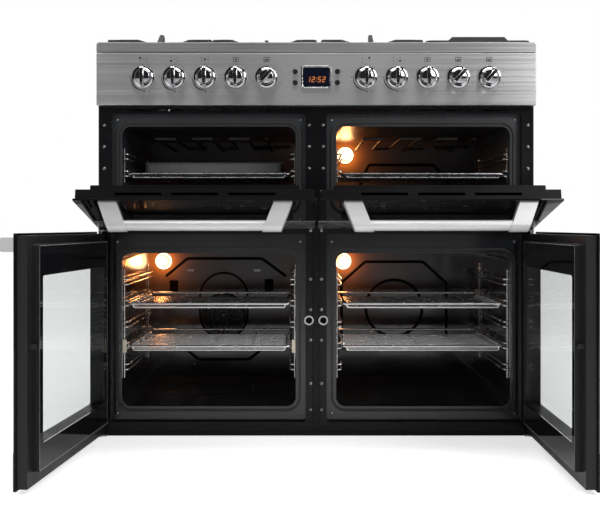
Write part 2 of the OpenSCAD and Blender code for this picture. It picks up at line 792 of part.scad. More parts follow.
// Two upright rods at an oven wall that carry pairs of runner wires
module ladder(z0, z1, levels) {
    y0 = flange_y + 12;
    y1 = flange_y + cavity_depth - 60;
    rod = runner_d;
    wall = cavity_w / 2;
    for (y = [y0 + 8, y1 - 8]) {
        translate([wall - rod / 2 - fit_gap, y, z0]) cylinder(h = z1 - z0, d = rod, $fn = 8);
        for (z = levels, dz = [0, runner_pair])
            wire_x(wall - runner_in - rod / 4, wall - rod / 2 - fit_gap, y, z + dz, rod - 0.5);
    }
    for (z = levels, dz = [0, runner_pair]) wire_y(wall - runner_in, y0, y1, z + dz, rod);
}

module shelf_runners() {
    lower = [for (i = [0:4]) level_z(i)];
    upper = [upper_level_z, upper_level_z + 40];
    color([0.75, 0.75, 0.75]) for (s = [-1, 1]) translate([s * oven_x, 0, 0]) both_sides() {
        ladder(lower[0] - 20, lower[4] + 34, lower);
        ladder(upper[0] - 14, upper[1] + 26, upper);
    }
}

// A wire shelf: a frame of rods, wires across it, a stay below and a second rod along the front
module shelf(z) {
    half = cavity_w / 2 - runner_in;
    y0 = flange_y + shelf_front;
    y1 = y0 + shelf_depth;
    zr = z + runner_d / 2 + fit_gap + shelf_rod / 2;
    union() {
        for (s = [-1, 1]) {
            wire_y(s * half, y0, y1, zr, shelf_rod);
            translate([s * (half - 20), y0, zr - 8.5]) cylinder(h = 8.5, d = shelf_wire, $fn = 8);
        }
        wire_x(-half, half, y0, zr, shelf_rod - 0.4);
        wire_x(-half, half, y1 - shelf_rod / 2, zr, shelf_rod - 0.4);
        wire_x(-half + 14, half - 14, y0, zr - 8.5, shelf_wire + 1);
        for (i = [1:shelf_wires])
            wire_x(-half, half, y0 + i * (shelf_depth - 60) / shelf_wires, zr - 1, shelf_wire);
        wire_y(0, y0, y1 - shelf_rod / 2, zr - 3.2, shelf_wire + 1);
    }
}

module shelf_node(name) {
    side = (name == "shelf_left_high" || name == "shelf_left_low" || name == "shelf_upper_left")
        ? -1 : 1;
    z = name == "shelf_left_high" || name == "shelf_right_high" ? level_z(3)
        : name == "shelf_left_low" || name == "shelf_right_low" ? level_z(1) : upper_level_z;
    color([0.78, 0.78, 0.78]) translate([side * oven_x, 0, 0]) shelf(z);
}

module fan_guard() {
    r = guard_d / 2;
    y = flange_y + cavity_depth - 20;
    color([0.12, 0.12, 0.12]) translate([-oven_x, 0, fan_z]) difference() {
        union() {
            slab(y, 20 - fit_gap) circle(r);
            slab(y + 18, 2 - fit_gap) circle(r + 4);
        }
        slab(y + liner_sheet, 20) circle(r - liner_sheet);
        // Holes in rings round the middle one
        for (ring = [0:4], i = [0:max(0, 6 * ring - 1)]) {
            a = ring == 0 ? 0 : i * 60 / ring;
            translate([ring * guard_step * cos(a), y + 5, ring * guard_step * sin(a)])
                rotate([90, 0, 0]) cylinder(h = 10, d = guard_hole_d, $fn = 6);
        }
    }
}

module fan() {
    y = flange_y + cavity_depth - 14;
    color([0.55, 0.55, 0.55]) translate([-oven_x, 0, fan_z]) union() {
        slab(y + 10, 1.5) circle(fan_d / 2 - 4);
        slab(y, 60) circle(fan_shaft_r);
        for (i = [0:11]) rotate([0, i * 30, 0])
            translate([fan_d / 2 - 20, y, 0]) rotate([0, 25, 0]) cube([16, 11, 1.5]);
    }
}

module motor() {
    y = flange_y + cavity_depth;
    color([0.4, 0.4, 0.4]) translate([-oven_x, 0, fan_z]) difference() {
        union() {
            slab(y + liner_sheet + fit_gap, 2) circle(guard_d / 2);
            slab(y + liner_sheet + fit_gap, 52) circle(38);
        }
        slab(y, 50) circle(fan_shaft_r + spindle_clearance);
    }
}

module lamp(x, z) {
    y = flange_y + cavity_depth;
    translate([x, y - fit_gap, z]) rotate([90, 0, 0]) union() {
        cylinder(h = 6, d = 44);
        translate([0, 0, 6]) cylinder(h = 22, r1 = 19, r2 = 15);
        translate([0, 0, 28]) scale([1, 1, 0.5]) sphere(r = 15);
    }
}

module oven_lamps() {
    color([0.95, 0.9, 0.8]) {
        for (s = [-1, 1])
            lamp(s * oven_x - cavity_w / 2 + 35, lower_cavity_z + lower_cavity_h - 34);
        lamp(oven_x - cavity_w / 2 + 41, upper_cavity_z + upper_cavity_h - 35);
    }
}

module grill_element() {
    z = upper_cavity_z + upper_cavity_h - 22;
    y0 = flange_y + 70;
    y1 = flange_y + cavity_depth - fit_gap;
    color([0.2, 0.18, 0.17]) for (s = [-1, 1]) translate([s * oven_x, 0, 0]) union() {
        for (i = [-3:3]) rod_y(i * 44, y0, i % 3 == 0 ? y1 : y1 - 70, z, 7);
        for (i = [-3, -1, 1]) rod_x(i * 44, (i + 1) * 44, y0, z, 7);
        for (i = [-2, 0, 2]) rod_x(i * 44, (i + 1) * 44, y1 - 70, z, 7);
        for (i = [-3:3]) translate([i * 44, y0, z]) sphere(d = 7, $fn = 24);
        for (i = [-3:3]) translate([i * 44, y1 - 70, z]) sphere(d = 7, $fn = 24);
    }
    // Thermostat bulbs held by clips on the back walls
    color([0.7, 0.68, 0.64]) for (s = [-1, 1]) translate([s * oven_x, 0, z + 10]) union() {
        rod_x(86, 184, y1 - 12, 0, bulb_d);
        for (x = [98, 170]) translate([x, y1 - 13, -4]) cube([4, 13, 8]);
    }
}

// Enamelled tray with a wire trivet, lying on the shelf of the grill
module grill_pan() {
    w = 336;
    d = 300;
    h = 27;
    y = flange_y + 118;
    z = upper_level_z + runner_d / 2 + 2 * fit_gap + shelf_rod;
    color([0.1, 0.1, 0.1]) translate([-oven_x, y, z]) difference() {
        translate([0, d / 2, 0]) linear_extrude(h) round_rect(w, d, 16);
        translate([0, d / 2, 1.5]) linear_extrude(h) round_rect(w - 3, d - 3, 14.5);
    }
    color([0.7, 0.7, 0.7]) translate([-oven_x, y, z + h + fit_gap]) union() {
        for (s = [-1, 1]) wire_x(-w / 2 + 1, w / 2 - 1, d / 2 + s * (d / 2 - 12), 2, 4);
        for (i = [-10:10]) wire_y(i * 15, 8, d - 8, 4, 3);
    }
}

// Hinge brackets, pins and catch rings that are fixed to the front frame
module door_hardware() {
    pivot_x = body_w / 2 - hinge_in;
    top = lower_door_z + lower_door_h;
    color([0.7, 0.7, 0.7]) {
        both_sides() {
            for (end = [0, 1]) {
                z = end == 0 ? lower_door_z - 1 - bracket_t : top + 1;
                union() {
                    translate([pivot_x - 14, hinge_y, z])
                        cube([14 + hinge_in - sheet, hinge_out - fit_gap, bracket_t]);
                    translate([pivot_x, hinge_y, z]) cylinder(h = bracket_t, r = 5);
                    translate([pivot_x, hinge_y, end == 0 ? z : top - 19])
                        cylinder(h = 19 + bracket_t + 1, r = hinge_pin_r);
                }
            }
        }
        for (s = [-1, 1], end = [0, 1]) {
            x = s * (middle_gap / 2 + (end == 0 ? notch_x : door_w - notch_x));
            union() {
                translate([x - bracket_t / 2, hinge_y, upper_hinge_z - 5])
                    cube([bracket_t, hinge_out - fit_gap, 10]);
                rod_x(x - bracket_t / 2, x + bracket_t / 2, hinge_y, upper_hinge_z, 12);
                rod_x(x - 9, x + 9, hinge_y, upper_hinge_z, 2 * hinge_pin_r);
            }
        }
        for (s = [-1, 1]) slab(border_y - 1.2, 1.2 - fit_gap) translate([s * catch_x, catch_z])
            difference() {
                circle(catch_r + 3);
                circle(catch_r - 0.5);
            }
    }
}

// Door outlines in the door's own frame: X from its side edge, Y from the face of its glass
module frame_outline(w, h) {
    translate([glass_overhang, glass_overhang])
        square([w - 2 * glass_overhang, h - 2 * glass_overhang]);
}

module liner_outline(w, h, low, cut) {
    translate([w / 2, (h + low - liner_top_inset) / 2])
        round_rect(w - 2 * liner_side_inset - 2 * cut, h - low - liner_top_inset - 2 * cut,
                   max(0.6, 6 - cut));
}

module window_outline(w, win_z, win_h, grow) {
    translate([(w - window_w) / 2 - grow, win_z - grow]) square([window_w + 2 * grow, win_h + 2 * grow]);
}

module door_frame(w, h, low, win_z, win_h) {
    y1 = glass_t + fit_gap;
    depth = shell_t - y1;
    seat = door_liner_t - glass_t;
    difference() {
        union() {
            // Folded shell behind the outer glass
            slab(shell_t - door_sheet, door_sheet) difference() {
                frame_outline(w, h);
                window_outline(w, win_z, win_h, 0);
            }
            slab(y1, depth) difference() {
                frame_outline(w, h);
                translate([glass_overhang + door_sheet, glass_overhang + door_sheet])
                    square([w - 2 * (glass_overhang + door_sheet),
                            h - 2 * (glass_overhang + door_sheet)]);
            }
            slab(y1, depth + seat) difference() {
                window_outline(w, win_z, win_h, door_sheet);
                window_outline(w, win_z, win_h, 0);
            }
            // Raised liner around the inner glass
            slab(shell_t - 0.5, door_liner_t + 0.5) difference() {
                liner_outline(w, h, low, 0);
                liner_outline(w, h, low, door_sheet);
            }
            slab(shell_t - 0.5, seat + 0.5 - fit_gap) difference() {
                liner_outline(w, h, low, 0);
                liner_outline(w, h, low, 5);
            }
        }
        // Air slots along the top edge
        for (i = [-1, 0, 1])
            translate([w / 2 + i * 116 - 48, y1 + 7, h - 10]) cube([96, 6, 20]);
    }
}

module lower_door_frame() {
    w = door_w;
    h = lower_door_h;
    px = hinge_in;
    py = hinge_from_face;
    y1 = glass_t + fit_gap;
    difference() {
        union() {
            door_frame(w, h, liner_low_inset, lower_window_z, lower_window_h);
            for (z = [glass_overhang, h - glass_overhang - 22])
                translate([glass_overhang, y1, z]) cube([10, shell_t - y1, 22]);
            // Striker that enters the catch in the post
            translate([w - catch_x + middle_gap / 2 - 2.5, shell_t - 1, catch_z - lower_door_z - 4.5])
                cube([5, 14, 9]);
        }
        translate([px, py, -1]) cylinder(h = 40, r = hinge_pin_r + hinge_clearance);
        translate([px, py, h - 39]) cylinder(h = 40, r = hinge_pin_r + hinge_clearance);
    }
}

module upper_door_frame() {
    w = door_w;
    h = upper_door_h;
    py = hinge_from_face;
    y1 = glass_t + fit_gap;
    difference() {
        union() {
            door_frame(w, h, upper_liner_low_inset, upper_window_z, upper_window_h);
            for (x = [notch_x, w - notch_x])
                translate([x - 12, y1, glass_overhang]) cube([24, shell_t - y1, 14]);
        }
        for (x = [notch_x, w - notch_x]) {
            translate([x - bracket_t / 2 - 0.6, y1 + 1.5, -1])
                cube([bracket_t + 1.2, shell_t, upper_hinge_up + 8.5]);
            translate([x - 10, py, upper_hinge_up]) rotate([0, 90, 0])
                cylinder(h = 20, r = hinge_pin_r + hinge_clearance);
        }
    }
}

module door_glass(w, h, low) {
    slab(0, glass_t) translate([w / 2, h / 2]) round_rect(w, h, 3);
    slab(shell_t + door_liner_t - glass_t, glass_t) liner_outline(w, h, low, door_sheet + fit_gap);
}

// A post that leans inwards, with a full round end
module handle_post(x, lean) {
    r = post_h / 2;
    reach = handle_reach;
    intersection() {
        translate([x, 0, -r]) linear_extrude(2 * r)
            polygon([[0, -fit_gap], [post_w, -fit_gap], [post_w + lean, -reach], [lean, -reach]]);
        translate([x - 60, 0, 0]) rotate([0, 90, 0]) union() {
            translate([0, -reach + r, 0]) cylinder(h = post_w + 120, r = r);
            translate([-r, -reach + r, 0]) cube([2 * r, reach - r, post_w + 120]);
        }
    }
}

module door_handle(w, h) {
    bar_y = -handle_reach + post_h / 2;
    lean = post_slant * (handle_reach - post_h / 2) / handle_reach;
    translate([0, 0, h - handle_drop]) union() {
        handle_post(post_inset, post_slant);
        handle_post(w - post_inset - post_w, -post_slant);
        rod_x(post_inset + post_w + lean - 6, w - post_inset - post_w - lean + 6, bar_y, 0, bar_d);
    }
    slab(-strip_t - fit_gap, strip_t) translate([1, 1]) square([w - 2, strip_h - 1]);
}

module place_lower(side) {
    s = side_of(side);
    angle = side == "left" ? left_door_open : right_door_open;
    mirror([s > 0 ? 1 : 0, 0, 0])
        translate([-body_w / 2 + hinge_in, hinge_y, lower_door_z])
            rotate([0, 0, -angle]) translate([-hinge_in, -hinge_from_face, 0]) children();
}

module place_upper(side) {
    s = side_of(side);
    mirror([s > 0 ? 1 : 0, 0, 0])
        translate([-body_w / 2, hinge_y, upper_hinge_z])
            rotate([upper_door_open, 0, 0])
                translate([0, -hinge_from_face, -upper_hinge_up]) children();
}

module lower_door(side, part) {
    place_lower(side) {
        if (part == "frame") color([0.13, 0.13, 0.14]) lower_door_frame();
        if (part == "glass") color([0.3, 0.3, 0.32]) door_glass(door_w, lower_door_h, liner_low_inset);
        if (part == "handle") color([0.75, 0.75, 0.75]) door_handle(door_w, lower_door_h);
    }
}

module upper_door(side, part) {
    place_upper(side) {
        if (part == "frame") color([0.13, 0.13, 0.14]) upper_door_frame();
        if (part == "glass") color([0.05, 0.05, 0.06])
            door_glass(door_w, upper_door_h, upper_liner_low_inset);
        if (part == "handle") color([0.75, 0.75, 0.75]) door_handle(door_w, upper_door_h);
    }
}

base_frame();
side_panels();
back_panel();
front_frame();
lower_ovens();
upper_ovens();
door_seals();
control_panel();
hob_top();
display();
for (n = [1:4]) button(n);
control_gear();
for (n = TAPS) tap_stem(n);
for (n = [1:10]) knob(n);
burner_bodies();
burner_caps();
pan_supports();
hotplate_glass();
griddle_plate();
shelf_runners();
fan_guard();
fan();
oven_lamps();
grill_element();
grill_pan();
for (name = SHELVES) shelf_node(name);
door_hardware();
for (side = ["left", "right"], part = ["frame", "glass", "handle"]) {
    lower_door(side, part);
    upper_door(side, part);
}
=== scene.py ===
import bpy
import bmesh
import math
from mathutils import Matrix, Vector


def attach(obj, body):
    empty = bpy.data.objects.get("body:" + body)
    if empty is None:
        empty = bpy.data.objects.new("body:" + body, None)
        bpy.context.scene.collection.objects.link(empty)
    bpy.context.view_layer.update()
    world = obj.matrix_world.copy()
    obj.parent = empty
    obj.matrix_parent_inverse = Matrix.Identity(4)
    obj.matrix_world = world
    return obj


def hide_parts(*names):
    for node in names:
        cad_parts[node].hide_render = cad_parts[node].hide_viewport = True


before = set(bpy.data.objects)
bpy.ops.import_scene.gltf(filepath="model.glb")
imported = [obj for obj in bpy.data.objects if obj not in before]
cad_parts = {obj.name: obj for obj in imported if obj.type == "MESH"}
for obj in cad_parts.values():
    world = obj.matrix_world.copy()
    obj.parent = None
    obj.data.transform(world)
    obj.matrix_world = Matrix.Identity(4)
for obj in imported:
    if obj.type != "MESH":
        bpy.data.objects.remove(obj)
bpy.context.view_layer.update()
scene = bpy.context.scene
mm = 0.001
print("stage: model loaded,", len(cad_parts), "nodes")


def addObject(name, data):
    made = bpy.data.objects.new(name, data)
    scene.collection.objects.link(made)
    return made


# camera, as the photograph was taken
cameraView = {"place": (-0.037, -2.518, 0.482), "tilt": 90, "lens": 58.5, "sensor": 36.0,
              "shiftY": -0.0667, "clipEnd": 60}
cameraData = bpy.data.cameras.new("photoCamera")
camera = addObject("photoCamera", cameraData)
camera.location = cameraView["place"]
camera.rotation_euler = (math.radians(cameraView["tilt"]), 0, 0)
cameraData.lens = cameraView["lens"]
cameraData.sensor_width = cameraView["sensor"]
cameraData.shift_y = cameraView["shiftY"]
cameraData.clip_end = cameraView["clipEnd"]
scene.camera = camera

# the sizes that the pieces share, in mm, as in the part's source
cooker = {"halfW": 500, "panelY": -300, "borderY": -277, "flangeY": -261, "backWallY": 183,
          "backSheetY": 298.2, "ovenX": 248, "cavityW": 402, "lowerZ": 65, "upperZ": 509,
          "knobZ": 820, "deckZ": 890}
door = {"w": 497.5, "lowerH": 464, "upperH": 263, "glass": 4, "shell": 24, "liner": 13,
        "hingeIn": 8, "hingeBack": 15, "hingeY": -289, "lowerZ": 5, "upperHingeZ": 494,
        "upperHingeUp": 10, "leftOpen": 95, "rightOpen": 89, "upperOpen": 77.5, "windowW": 397,
        "lowerWindow": (79, 307), "upperWindow": (84, 112), "sideInset": 30, "topInset": 20,
        "lowerLow": 29, "upperLow": 24}
ovenCentres = (-cooker["ovenX"], cooker["ovenX"])
gasKnobs, zoneKnobs, ovenKnobs = (1, 2, 3, 6, 7), (4, 8), (5, 9, 10)

# the three lit lamps as (x, z), under the names of their inputs in the group that paints their glow onto the
# enamel
ovenLamps = {"LampA": (-414, 385), "LampB": (82, 385), "LampC": (88, 677)}


# shader nodes
def setInputs(tree, node, inputs):
    # an input takes a plain value or the output of another node
    for key, value in inputs.items():
        if isinstance(value, bpy.types.NodeSocket):
            tree.links.new(value, node.inputs[key])
        else:
            node.inputs[key].default_value = value


def addNode(tree, kind, inputs, **settings):
    node = tree.nodes.new("ShaderNode" + kind)
    for key, value in settings.items():
        setattr(node, key, value)
    setInputs(tree, node, inputs)
    return node


def addMath(tree, operation, *values, clamp=False):
    step = addNode(tree, "Math", dict(enumerate(values)), operation=operation, use_clamp=clamp)
    return step.outputs[0]


def newGroup(name, inputs, outputs):
    # a shader group, with its sockets given as {label: kind}
    group = bpy.data.node_groups.new(name, "ShaderNodeTree")
    for way, sockets in (("INPUT", inputs), ("OUTPUT", outputs)):
        for label, kind in sockets.items():
            group.interface.new_socket(label, in_out=way, socket_type="NodeSocket" + kind)
    nodeIn = group.nodes.new("NodeGroupInput")
    nodeOut = group.nodes.new("NodeGroupOutput")
    return group, nodeIn.outputs, nodeOut


def makeBrushGrain():
    # long fine scratches along one axis, with slower bands of sheen between them
    group, given, nodeOut = newGroup(
        "brushGrain", {"Vector": "Vector", "Stretch": "Vector", "Low": "Float", "High": "Float"},
        {"Roughness": "Float", "Height": "Float", "Band": "Float"})
    stretched = addNode(group, "VectorMath", {0: given["Vector"], 1: given["Stretch"]}, operation="MULTIPLY")
    fine = addNode(group, "TexNoise", {"Vector": stretched.outputs[0], "Scale": 1.0, "Detail": 3.0})
    slow = addNode(group, "TexNoise", {"Vector": given["Vector"], "Scale": 5.0, "Detail": 1.0})
    span = addNode(group, "MapRange", {"Value": fine.outputs["Fac"], "From Min": 0.3, "From Max": 0.7,
                                       "To Min": given["Low"], "To Max": given["High"]})
    setInputs(group, nodeOut, {"Roughness": span.outputs["Result"], "Height": fine.outputs["Fac"],
                               "Band": slow.outputs["Fac"]})
    return group


def makeSurfaceDrift():
    # slow changes of tone, and small specks, over any surface
    group, given, nodeOut = newGroup(
        "surfaceDrift", {"Vector": "Vector", "Scale": "Float", "Low": "Float", "High": "Float",
                         "ColorLow": "Color", "ColorHigh": "Color", "Grain": "Float"},
        {"Color": "Color", "Roughness": "Float", "Height": "Float"})
    slow = addNode(group, "TexNoise", {"Vector": given["Vector"], "Scale": given["Scale"], "Detail": 4.0})
    grain = addNode(group, "TexNoise", {"Vector": given["Vector"], "Scale": given["Grain"], "Detail": 2.0})
    span = addNode(group, "MapRange", {"Value": slow.outputs["Fac"], "From Min": 0.35, "From Max": 0.65,
                                       "To Min": given["Low"], "To Max": given["High"]})
    mix = addNode(group, "Mix", {"Factor": slow.outputs["Fac"], "A": given["ColorLow"],
                                 "B": given["ColorHigh"]}, data_type="RGBA")
    setInputs(group, nodeOut, {"Color": mix.outputs["Result"], "Roughness": span.outputs["Result"],
                               "Height": grain.outputs["Fac"]})
    return group


def makeLampPool():
    # a mask for the painted glow of the lamps: 1 at each lamp, fading with the distance from it
    group, given, nodeOut = newGroup(
        "paintedLampGlow", {"Vector": "Vector", **dict.fromkeys(ovenLamps, "Vector"), "Reach": "Float"},
        {"Mask": "Float"})
    total = None
    for lamp in ovenLamps:
        away = addNode(group, "VectorMath", {0: given["Vector"], 1: given[lamp]}, operation="DISTANCE")
        ratio = addMath(group, "DIVIDE", away.outputs["Value"], given["Reach"])
        squared = addMath(group, "POWER", ratio, 2.0)
        mask = addMath(group, "POWER", addMath(group, "ADD", squared, 1.0), -1.8)
        total = mask if total is None else addMath(group, "ADD", total, mask)
    setInputs(group, nodeOut, {"Mask": total})
    return group


brushGrain = makeBrushGrain()
paintedLampGlow = makeLampPool()
surfaceDrift = makeSurfaceDrift()


def newMaterial(name):
    material = bpy.data.materials.new(name)
    material.use_nodes = True
    return material, material.node_tree, material.node_tree.nodes["Principled BSDF"]


def bumpNormal(tree, relief, strength, edge):
    # fine relief, with sharp edges that look softened, so that they catch the light
    inputs = {"Strength": strength, "Distance": 0.001, "Height": relief}
    if edge:
        inputs["Normal"] = addNode(tree, "Bevel", {"Radius": edge}, samples=4).outputs["Normal"]
    return addNode(tree, "Bump", inputs).outputs["Normal"]


def brushedMetal(name, color, band, rough, stretch, bump, metallic=1.0, anisotropic=0.0, edge=0.0008):
    material, tree, shader = newMaterial(name)
    coords = addNode(tree, "TexCoord", {})
    grain = addNode(tree, "Group", {"Vector": coords.outputs["Object"], "Stretch": stretch,
                                    "Low": rough[0], "High": rough[1]}, node_tree=brushGrain)
    streak = addMath(tree, "MULTIPLY_ADD", grain.outputs["Height"], 0.7, grain.outputs["Band"], clamp=True)
    mix = addNode(tree, "Mix", {"A": (*color, 1), "B": (*band, 1), "Factor": streak}, data_type="RGBA")
    setInputs(tree, shader, {"Base Color": mix.outputs["Result"], "Roughness": grain.outputs["Roughness"],
                             "Normal": bumpNormal(tree, grain.outputs["Height"], bump, edge),
                             "Metallic": metallic})
    if anisotropic:
        # the scratches run along X, so the light spreads up and down
        tangent = addNode(tree, "Tangent", {}, direction_type="RADIAL", axis="Z")
        setInputs(tree, shader, {"Tangent": tangent.outputs["Tangent"], "Anisotropic": anisotropic,
                                 "Anisotropic Rotation": 0.25})
    return material


def driftSurface(name, low, high, rough, scale, grain, bump, metallic=0.0, coat=0.0, coatRough=0.05,
                 specular=0.5, edge=0.0008):
    material, tree, shader = newMaterial(name)
    coords = addNode(tree, "TexCoord", {})
    drift = addNode(tree, "Group", {"Vector": coords.outputs["Object"], "Scale": scale, "Grain": grain,
                                    "Low": rough[0], "High": rough[1], "ColorLow": (*low, 1),
                                    "ColorHigh": (*high, 1)}, node_tree=surfaceDrift)
    setInputs(tree, shader, {"Base Color": drift.outputs["Color"], "Roughness": drift.outputs["Roughness"],
                             "Normal": bumpNormal(tree, drift.outputs["Height"], bump, edge),
                             "Metallic": metallic, "Coat Weight": coat, "Coat Roughness": coatRough,
                             "Specular IOR Level": specular})
    return material


def glowing(name, color, strength):
    material, tree, shader = newMaterial(name)
    setInputs(tree, shader, {"Base Color": (0.02, 0.02, 0.02, 1), "Emission Color": (*color, 1),
                             "Emission Strength": strength, "Roughness": 0.3})
    return material


def lampBulb(name, middle, rim, strength):
    # the bulb behind the glass: pale where seen straight on, deeper at its edge
    material, tree, shader = newMaterial(name)
    facing = addNode(tree, "LayerWeight", {"Blend": 0.55})
    mix = addNode(tree, "Mix", {"A": (*middle, 1), "B": (*rim, 1), "Factor": facing.outputs["Facing"]},
                  data_type="RGBA")
    setInputs(tree, shader, {"Emission Color": mix.outputs["Result"], "Emission Strength": strength,
                             "Base Color": (0.9, 0.7, 0.4, 1), "Roughness": 0.25})
    return material


def clearGlass(name, color):
    material, tree, shader = newMaterial(name)
    setInputs(tree, shader, {"Base Color": (*color, 1), "Transmission Weight": 1.0, "Roughness": 0.0,
                             "IOR": 1.07})
    return material


# the glow of the lamps, painted as emission on the enamel round them
paintedGlowLook = {"y": 176, "reach": 0.026, "strength": 2.6, "color": (1.0, 0.20, 0.02, 1)}


# paints the glow of the lamps onto the enamel as emission, strongest at each lamp
def lampLit(material):
    tree = material.node_tree
    place = addNode(tree, "NewGeometry", {})
    spots = {lamp: (x * mm, paintedGlowLook["y"] * mm, z * mm) for lamp, (x, z) in ovenLamps.items()}
    paintedGlowMask = addNode(tree, "Group", {"Vector": place.outputs["Position"], **spots,
                                   "Reach": paintedGlowLook["reach"]}, node_tree=paintedLampGlow)
    power = addMath(tree, "MULTIPLY", paintedGlowMask.outputs["Mask"], paintedGlowLook["strength"])
    setInputs(tree, tree.nodes["Principled BSDF"], {"Emission Strength": power,
                                                    "Emission Color": paintedGlowLook["color"]})


# each row: colour of the metal and of its bands, roughness, stretch of the scratches, bump, the rest
brushed = {
    "panelSteel": ((0.37, 0.37, 0.375), (0.70, 0.70, 0.705), (0.3, 0.4), (1.2, 300, 420), 0.008,
                   {"anisotropic": 0.85, "edge": 0.002}),
    "hobSteel": ((0.30, 0.30, 0.305), (0.60, 0.60, 0.605), (0.28, 0.40), (1.5, 400, 420), 0.01,
                 {"anisotropic": 0.8, "edge": 0.002}),
    "satinSteel": ((0.52, 0.52, 0.52), (0.64, 0.64, 0.64), (0.40, 0.52), (40, 500, 500), 0.01,
                   {"metallic": 0.5}),
    "stripSteel": ((0.27, 0.267, 0.264), (0.36, 0.357, 0.354), (0.22, 0.32), (40, 500, 500), 0.008,
                   {"metallic": 0.85})}

# each row: low and high colour, roughness, scale of the drift and of the grain, bump, the rest
metals = {
    "zincSheet": ((0.42, 0.43, 0.44), (0.55, 0.56, 0.57), (0.34, 0.5), 30, 200, 0.03, {}),
    "wireChrome": ((0.86, 0.86, 0.87), (0.94, 0.94, 0.95), (0.16, 0.28), 30, 500, 0.01, {"edge": 0}),
    # the same chrome as wireChrome but darker: painted shade on the upper shelves, under the open doors
    "upperWire": ((0.36, 0.36, 0.37), (0.44, 0.44, 0.45), (0.2, 0.3), 30, 500, 0.01, {"edge": 0}),
    "knobChrome": ((0.54, 0.54, 0.555), (0.60, 0.60, 0.615), (0.03, 0.06), 40, 600, 0.004, {}),
    "hingeSteel": ((0.5, 0.5, 0.5), (0.62, 0.62, 0.62), (0.25, 0.4), 40, 500, 0.02, {}),
    "fanSteel": ((0.22, 0.21, 0.20), (0.34, 0.33, 0.32), (0.35, 0.5), 40, 500, 0.03, {}),
    "burnerAlloy": ((0.42, 0.42, 0.42), (0.52, 0.52, 0.51), (0.38, 0.5), 60, 900, 0.08, {}),
    "controlMetal": ((0.4, 0.4, 0.38), (0.5, 0.5, 0.48), (0.35, 0.5), 40, 600, 0.04, {}),
    "stemBrass": ((0.62, 0.47, 0.2), (0.7, 0.55, 0.26), (0.22, 0.34), 60, 600, 0.02, {}),
    "screwSteel": ((0.34, 0.34, 0.35), (0.44, 0.44, 0.45), (0.25, 0.36), 90, 900, 0.02, {}),
    "ringChrome": ((0.7, 0.7, 0.7), (0.78, 0.78, 0.78), (0.12, 0.2), 60, 600, 0.01, {})}
coatings = {
    "elementTube": ((0.025, 0.024, 0.023), (0.045, 0.042, 0.04), (0.42, 0.55), 40, 700, 0.05,
                    {"metallic": 0.3}),
    "ovenEnamel": ((0.006, 0.007, 0.009), (0.013, 0.015, 0.018), (0.12, 0.24), 7, 260, 0.035,
                   {"coat": 0.5, "coatRough": 0.10, "specular": 0.4, "edge": 0.002}),
    "upperEnamel": ((0.020, 0.022, 0.025), (0.034, 0.037, 0.041), (0.28, 0.4), 7, 260, 0.035,
                    {"coat": 0.25, "coatRough": 0.2, "specular": 0.4, "edge": 0.002}),
    "panEnamel": ((0.09, 0.09, 0.092), (0.13, 0.13, 0.132), (0.35, 0.5), 14, 400, 0.05, {}),
    # matte black, for the back-wall plates and as painted shade along the back-wall beads
    "beadEnamel": ((0.001, 0.001, 0.001), (0.002, 0.002, 0.002), (0.5, 0.6), 9, 300, 0.01,
                   {"specular": 0.1}),
    "upperPaint": ((0.004, 0.004, 0.004), (0.007, 0.007, 0.007), (0.3, 0.4), 9, 900, 0.06,
                   {"specular": 0.12}),
    "frameEnamel": ((0.003, 0.003, 0.004), (0.006, 0.006, 0.007), (0.2, 0.3), 9, 500, 0.03,
                    {"specular": 0.22, "edge": 0.0018}),
    "sidePaint": ((0.014, 0.014, 0.015), (0.022, 0.022, 0.024), (0.4, 0.52), 6, 900, 0.10, {}),
    "doorPaint": ((0.009, 0.009, 0.010), (0.015, 0.015, 0.016), (0.34, 0.44), 9, 900, 0.06,
                  {"specular": 0.25}),
    "castIron": ((0.012, 0.012, 0.013), (0.03, 0.03, 0.031), (0.5, 0.68), 30, 700, 0.35, {}),
    "capEnamel": ((0.012, 0.012, 0.012), (0.02, 0.02, 0.02), (0.3, 0.42), 30, 600, 0.08, {}),
    "sealRubber": ((0.014, 0.014, 0.014), (0.024, 0.024, 0.024), (0.55, 0.7), 20, 900, 0.2, {}),
    "blackGlass": ((0.004, 0.004, 0.005), (0.006, 0.006, 0.007), (0.02, 0.05), 3, 60, 0.002,
                   {"specular": 0.15}),
    "hobGlass": ((0.006, 0.006, 0.008), (0.009, 0.009, 0.011), (0.04, 0.08), 3, 60, 0.003, {}),
    "displayGlass": ((0.003, 0.004, 0.010), (0.005, 0.006, 0.014), (0.05, 0.08), 30, 60, 0.002, {}),
    "glassEdge": ((0.20, 0.22, 0.22), (0.27, 0.29, 0.29), (0.2, 0.3), 60, 600, 0.01, {}),
    "blackPlastic": ((0.012, 0.012, 0.013), (0.018, 0.018, 0.019), (0.2, 0.3), 60, 900, 0.03, {}),
    "creamPlastic": ((0.6, 0.54, 0.42), (0.68, 0.62, 0.5), (0.35, 0.45), 60, 600, 0.04, {}),
    "printBlack": ((0.012, 0.012, 0.012), (0.02, 0.02, 0.02), (0.4, 0.5), 60, 900, 0.02, {}),
    "whiteCeramic": ((0.74, 0.73, 0.7), (0.8, 0.79, 0.76), (0.3, 0.4), 60, 900, 0.03, {})}

finish = {"windowGlass": clearGlass("windowGlass", (0.82, 0.83, 0.83)),
          "smokedGlass": clearGlass("smokedGlass", (0.02, 0.02, 0.022)),
          "lampGlass": lampBulb("lampGlass", (1.0, 0.86, 0.55), (1.0, 0.26, 0.02), 3.0),
          "digitGlow": glowing("digitGlow", (1.0, 0.30, 0.05), 0.9)}
for name, (*look, rest) in brushed.items():
    finish[name] = brushedMetal(name, *look, **rest)
for name, (*look, rest) in metals.items():
    finish[name] = driftSurface(name, *look, metallic=1.0, **rest)
for name, (*look, rest) in coatings.items():
    finish[name] = driftSurface(name, *look, **rest)
# painted glow of the lamps on the enamel of the lower and upper ovens
lampLit(finish["ovenEnamel"])
lampLit(finish["upperEnamel"])

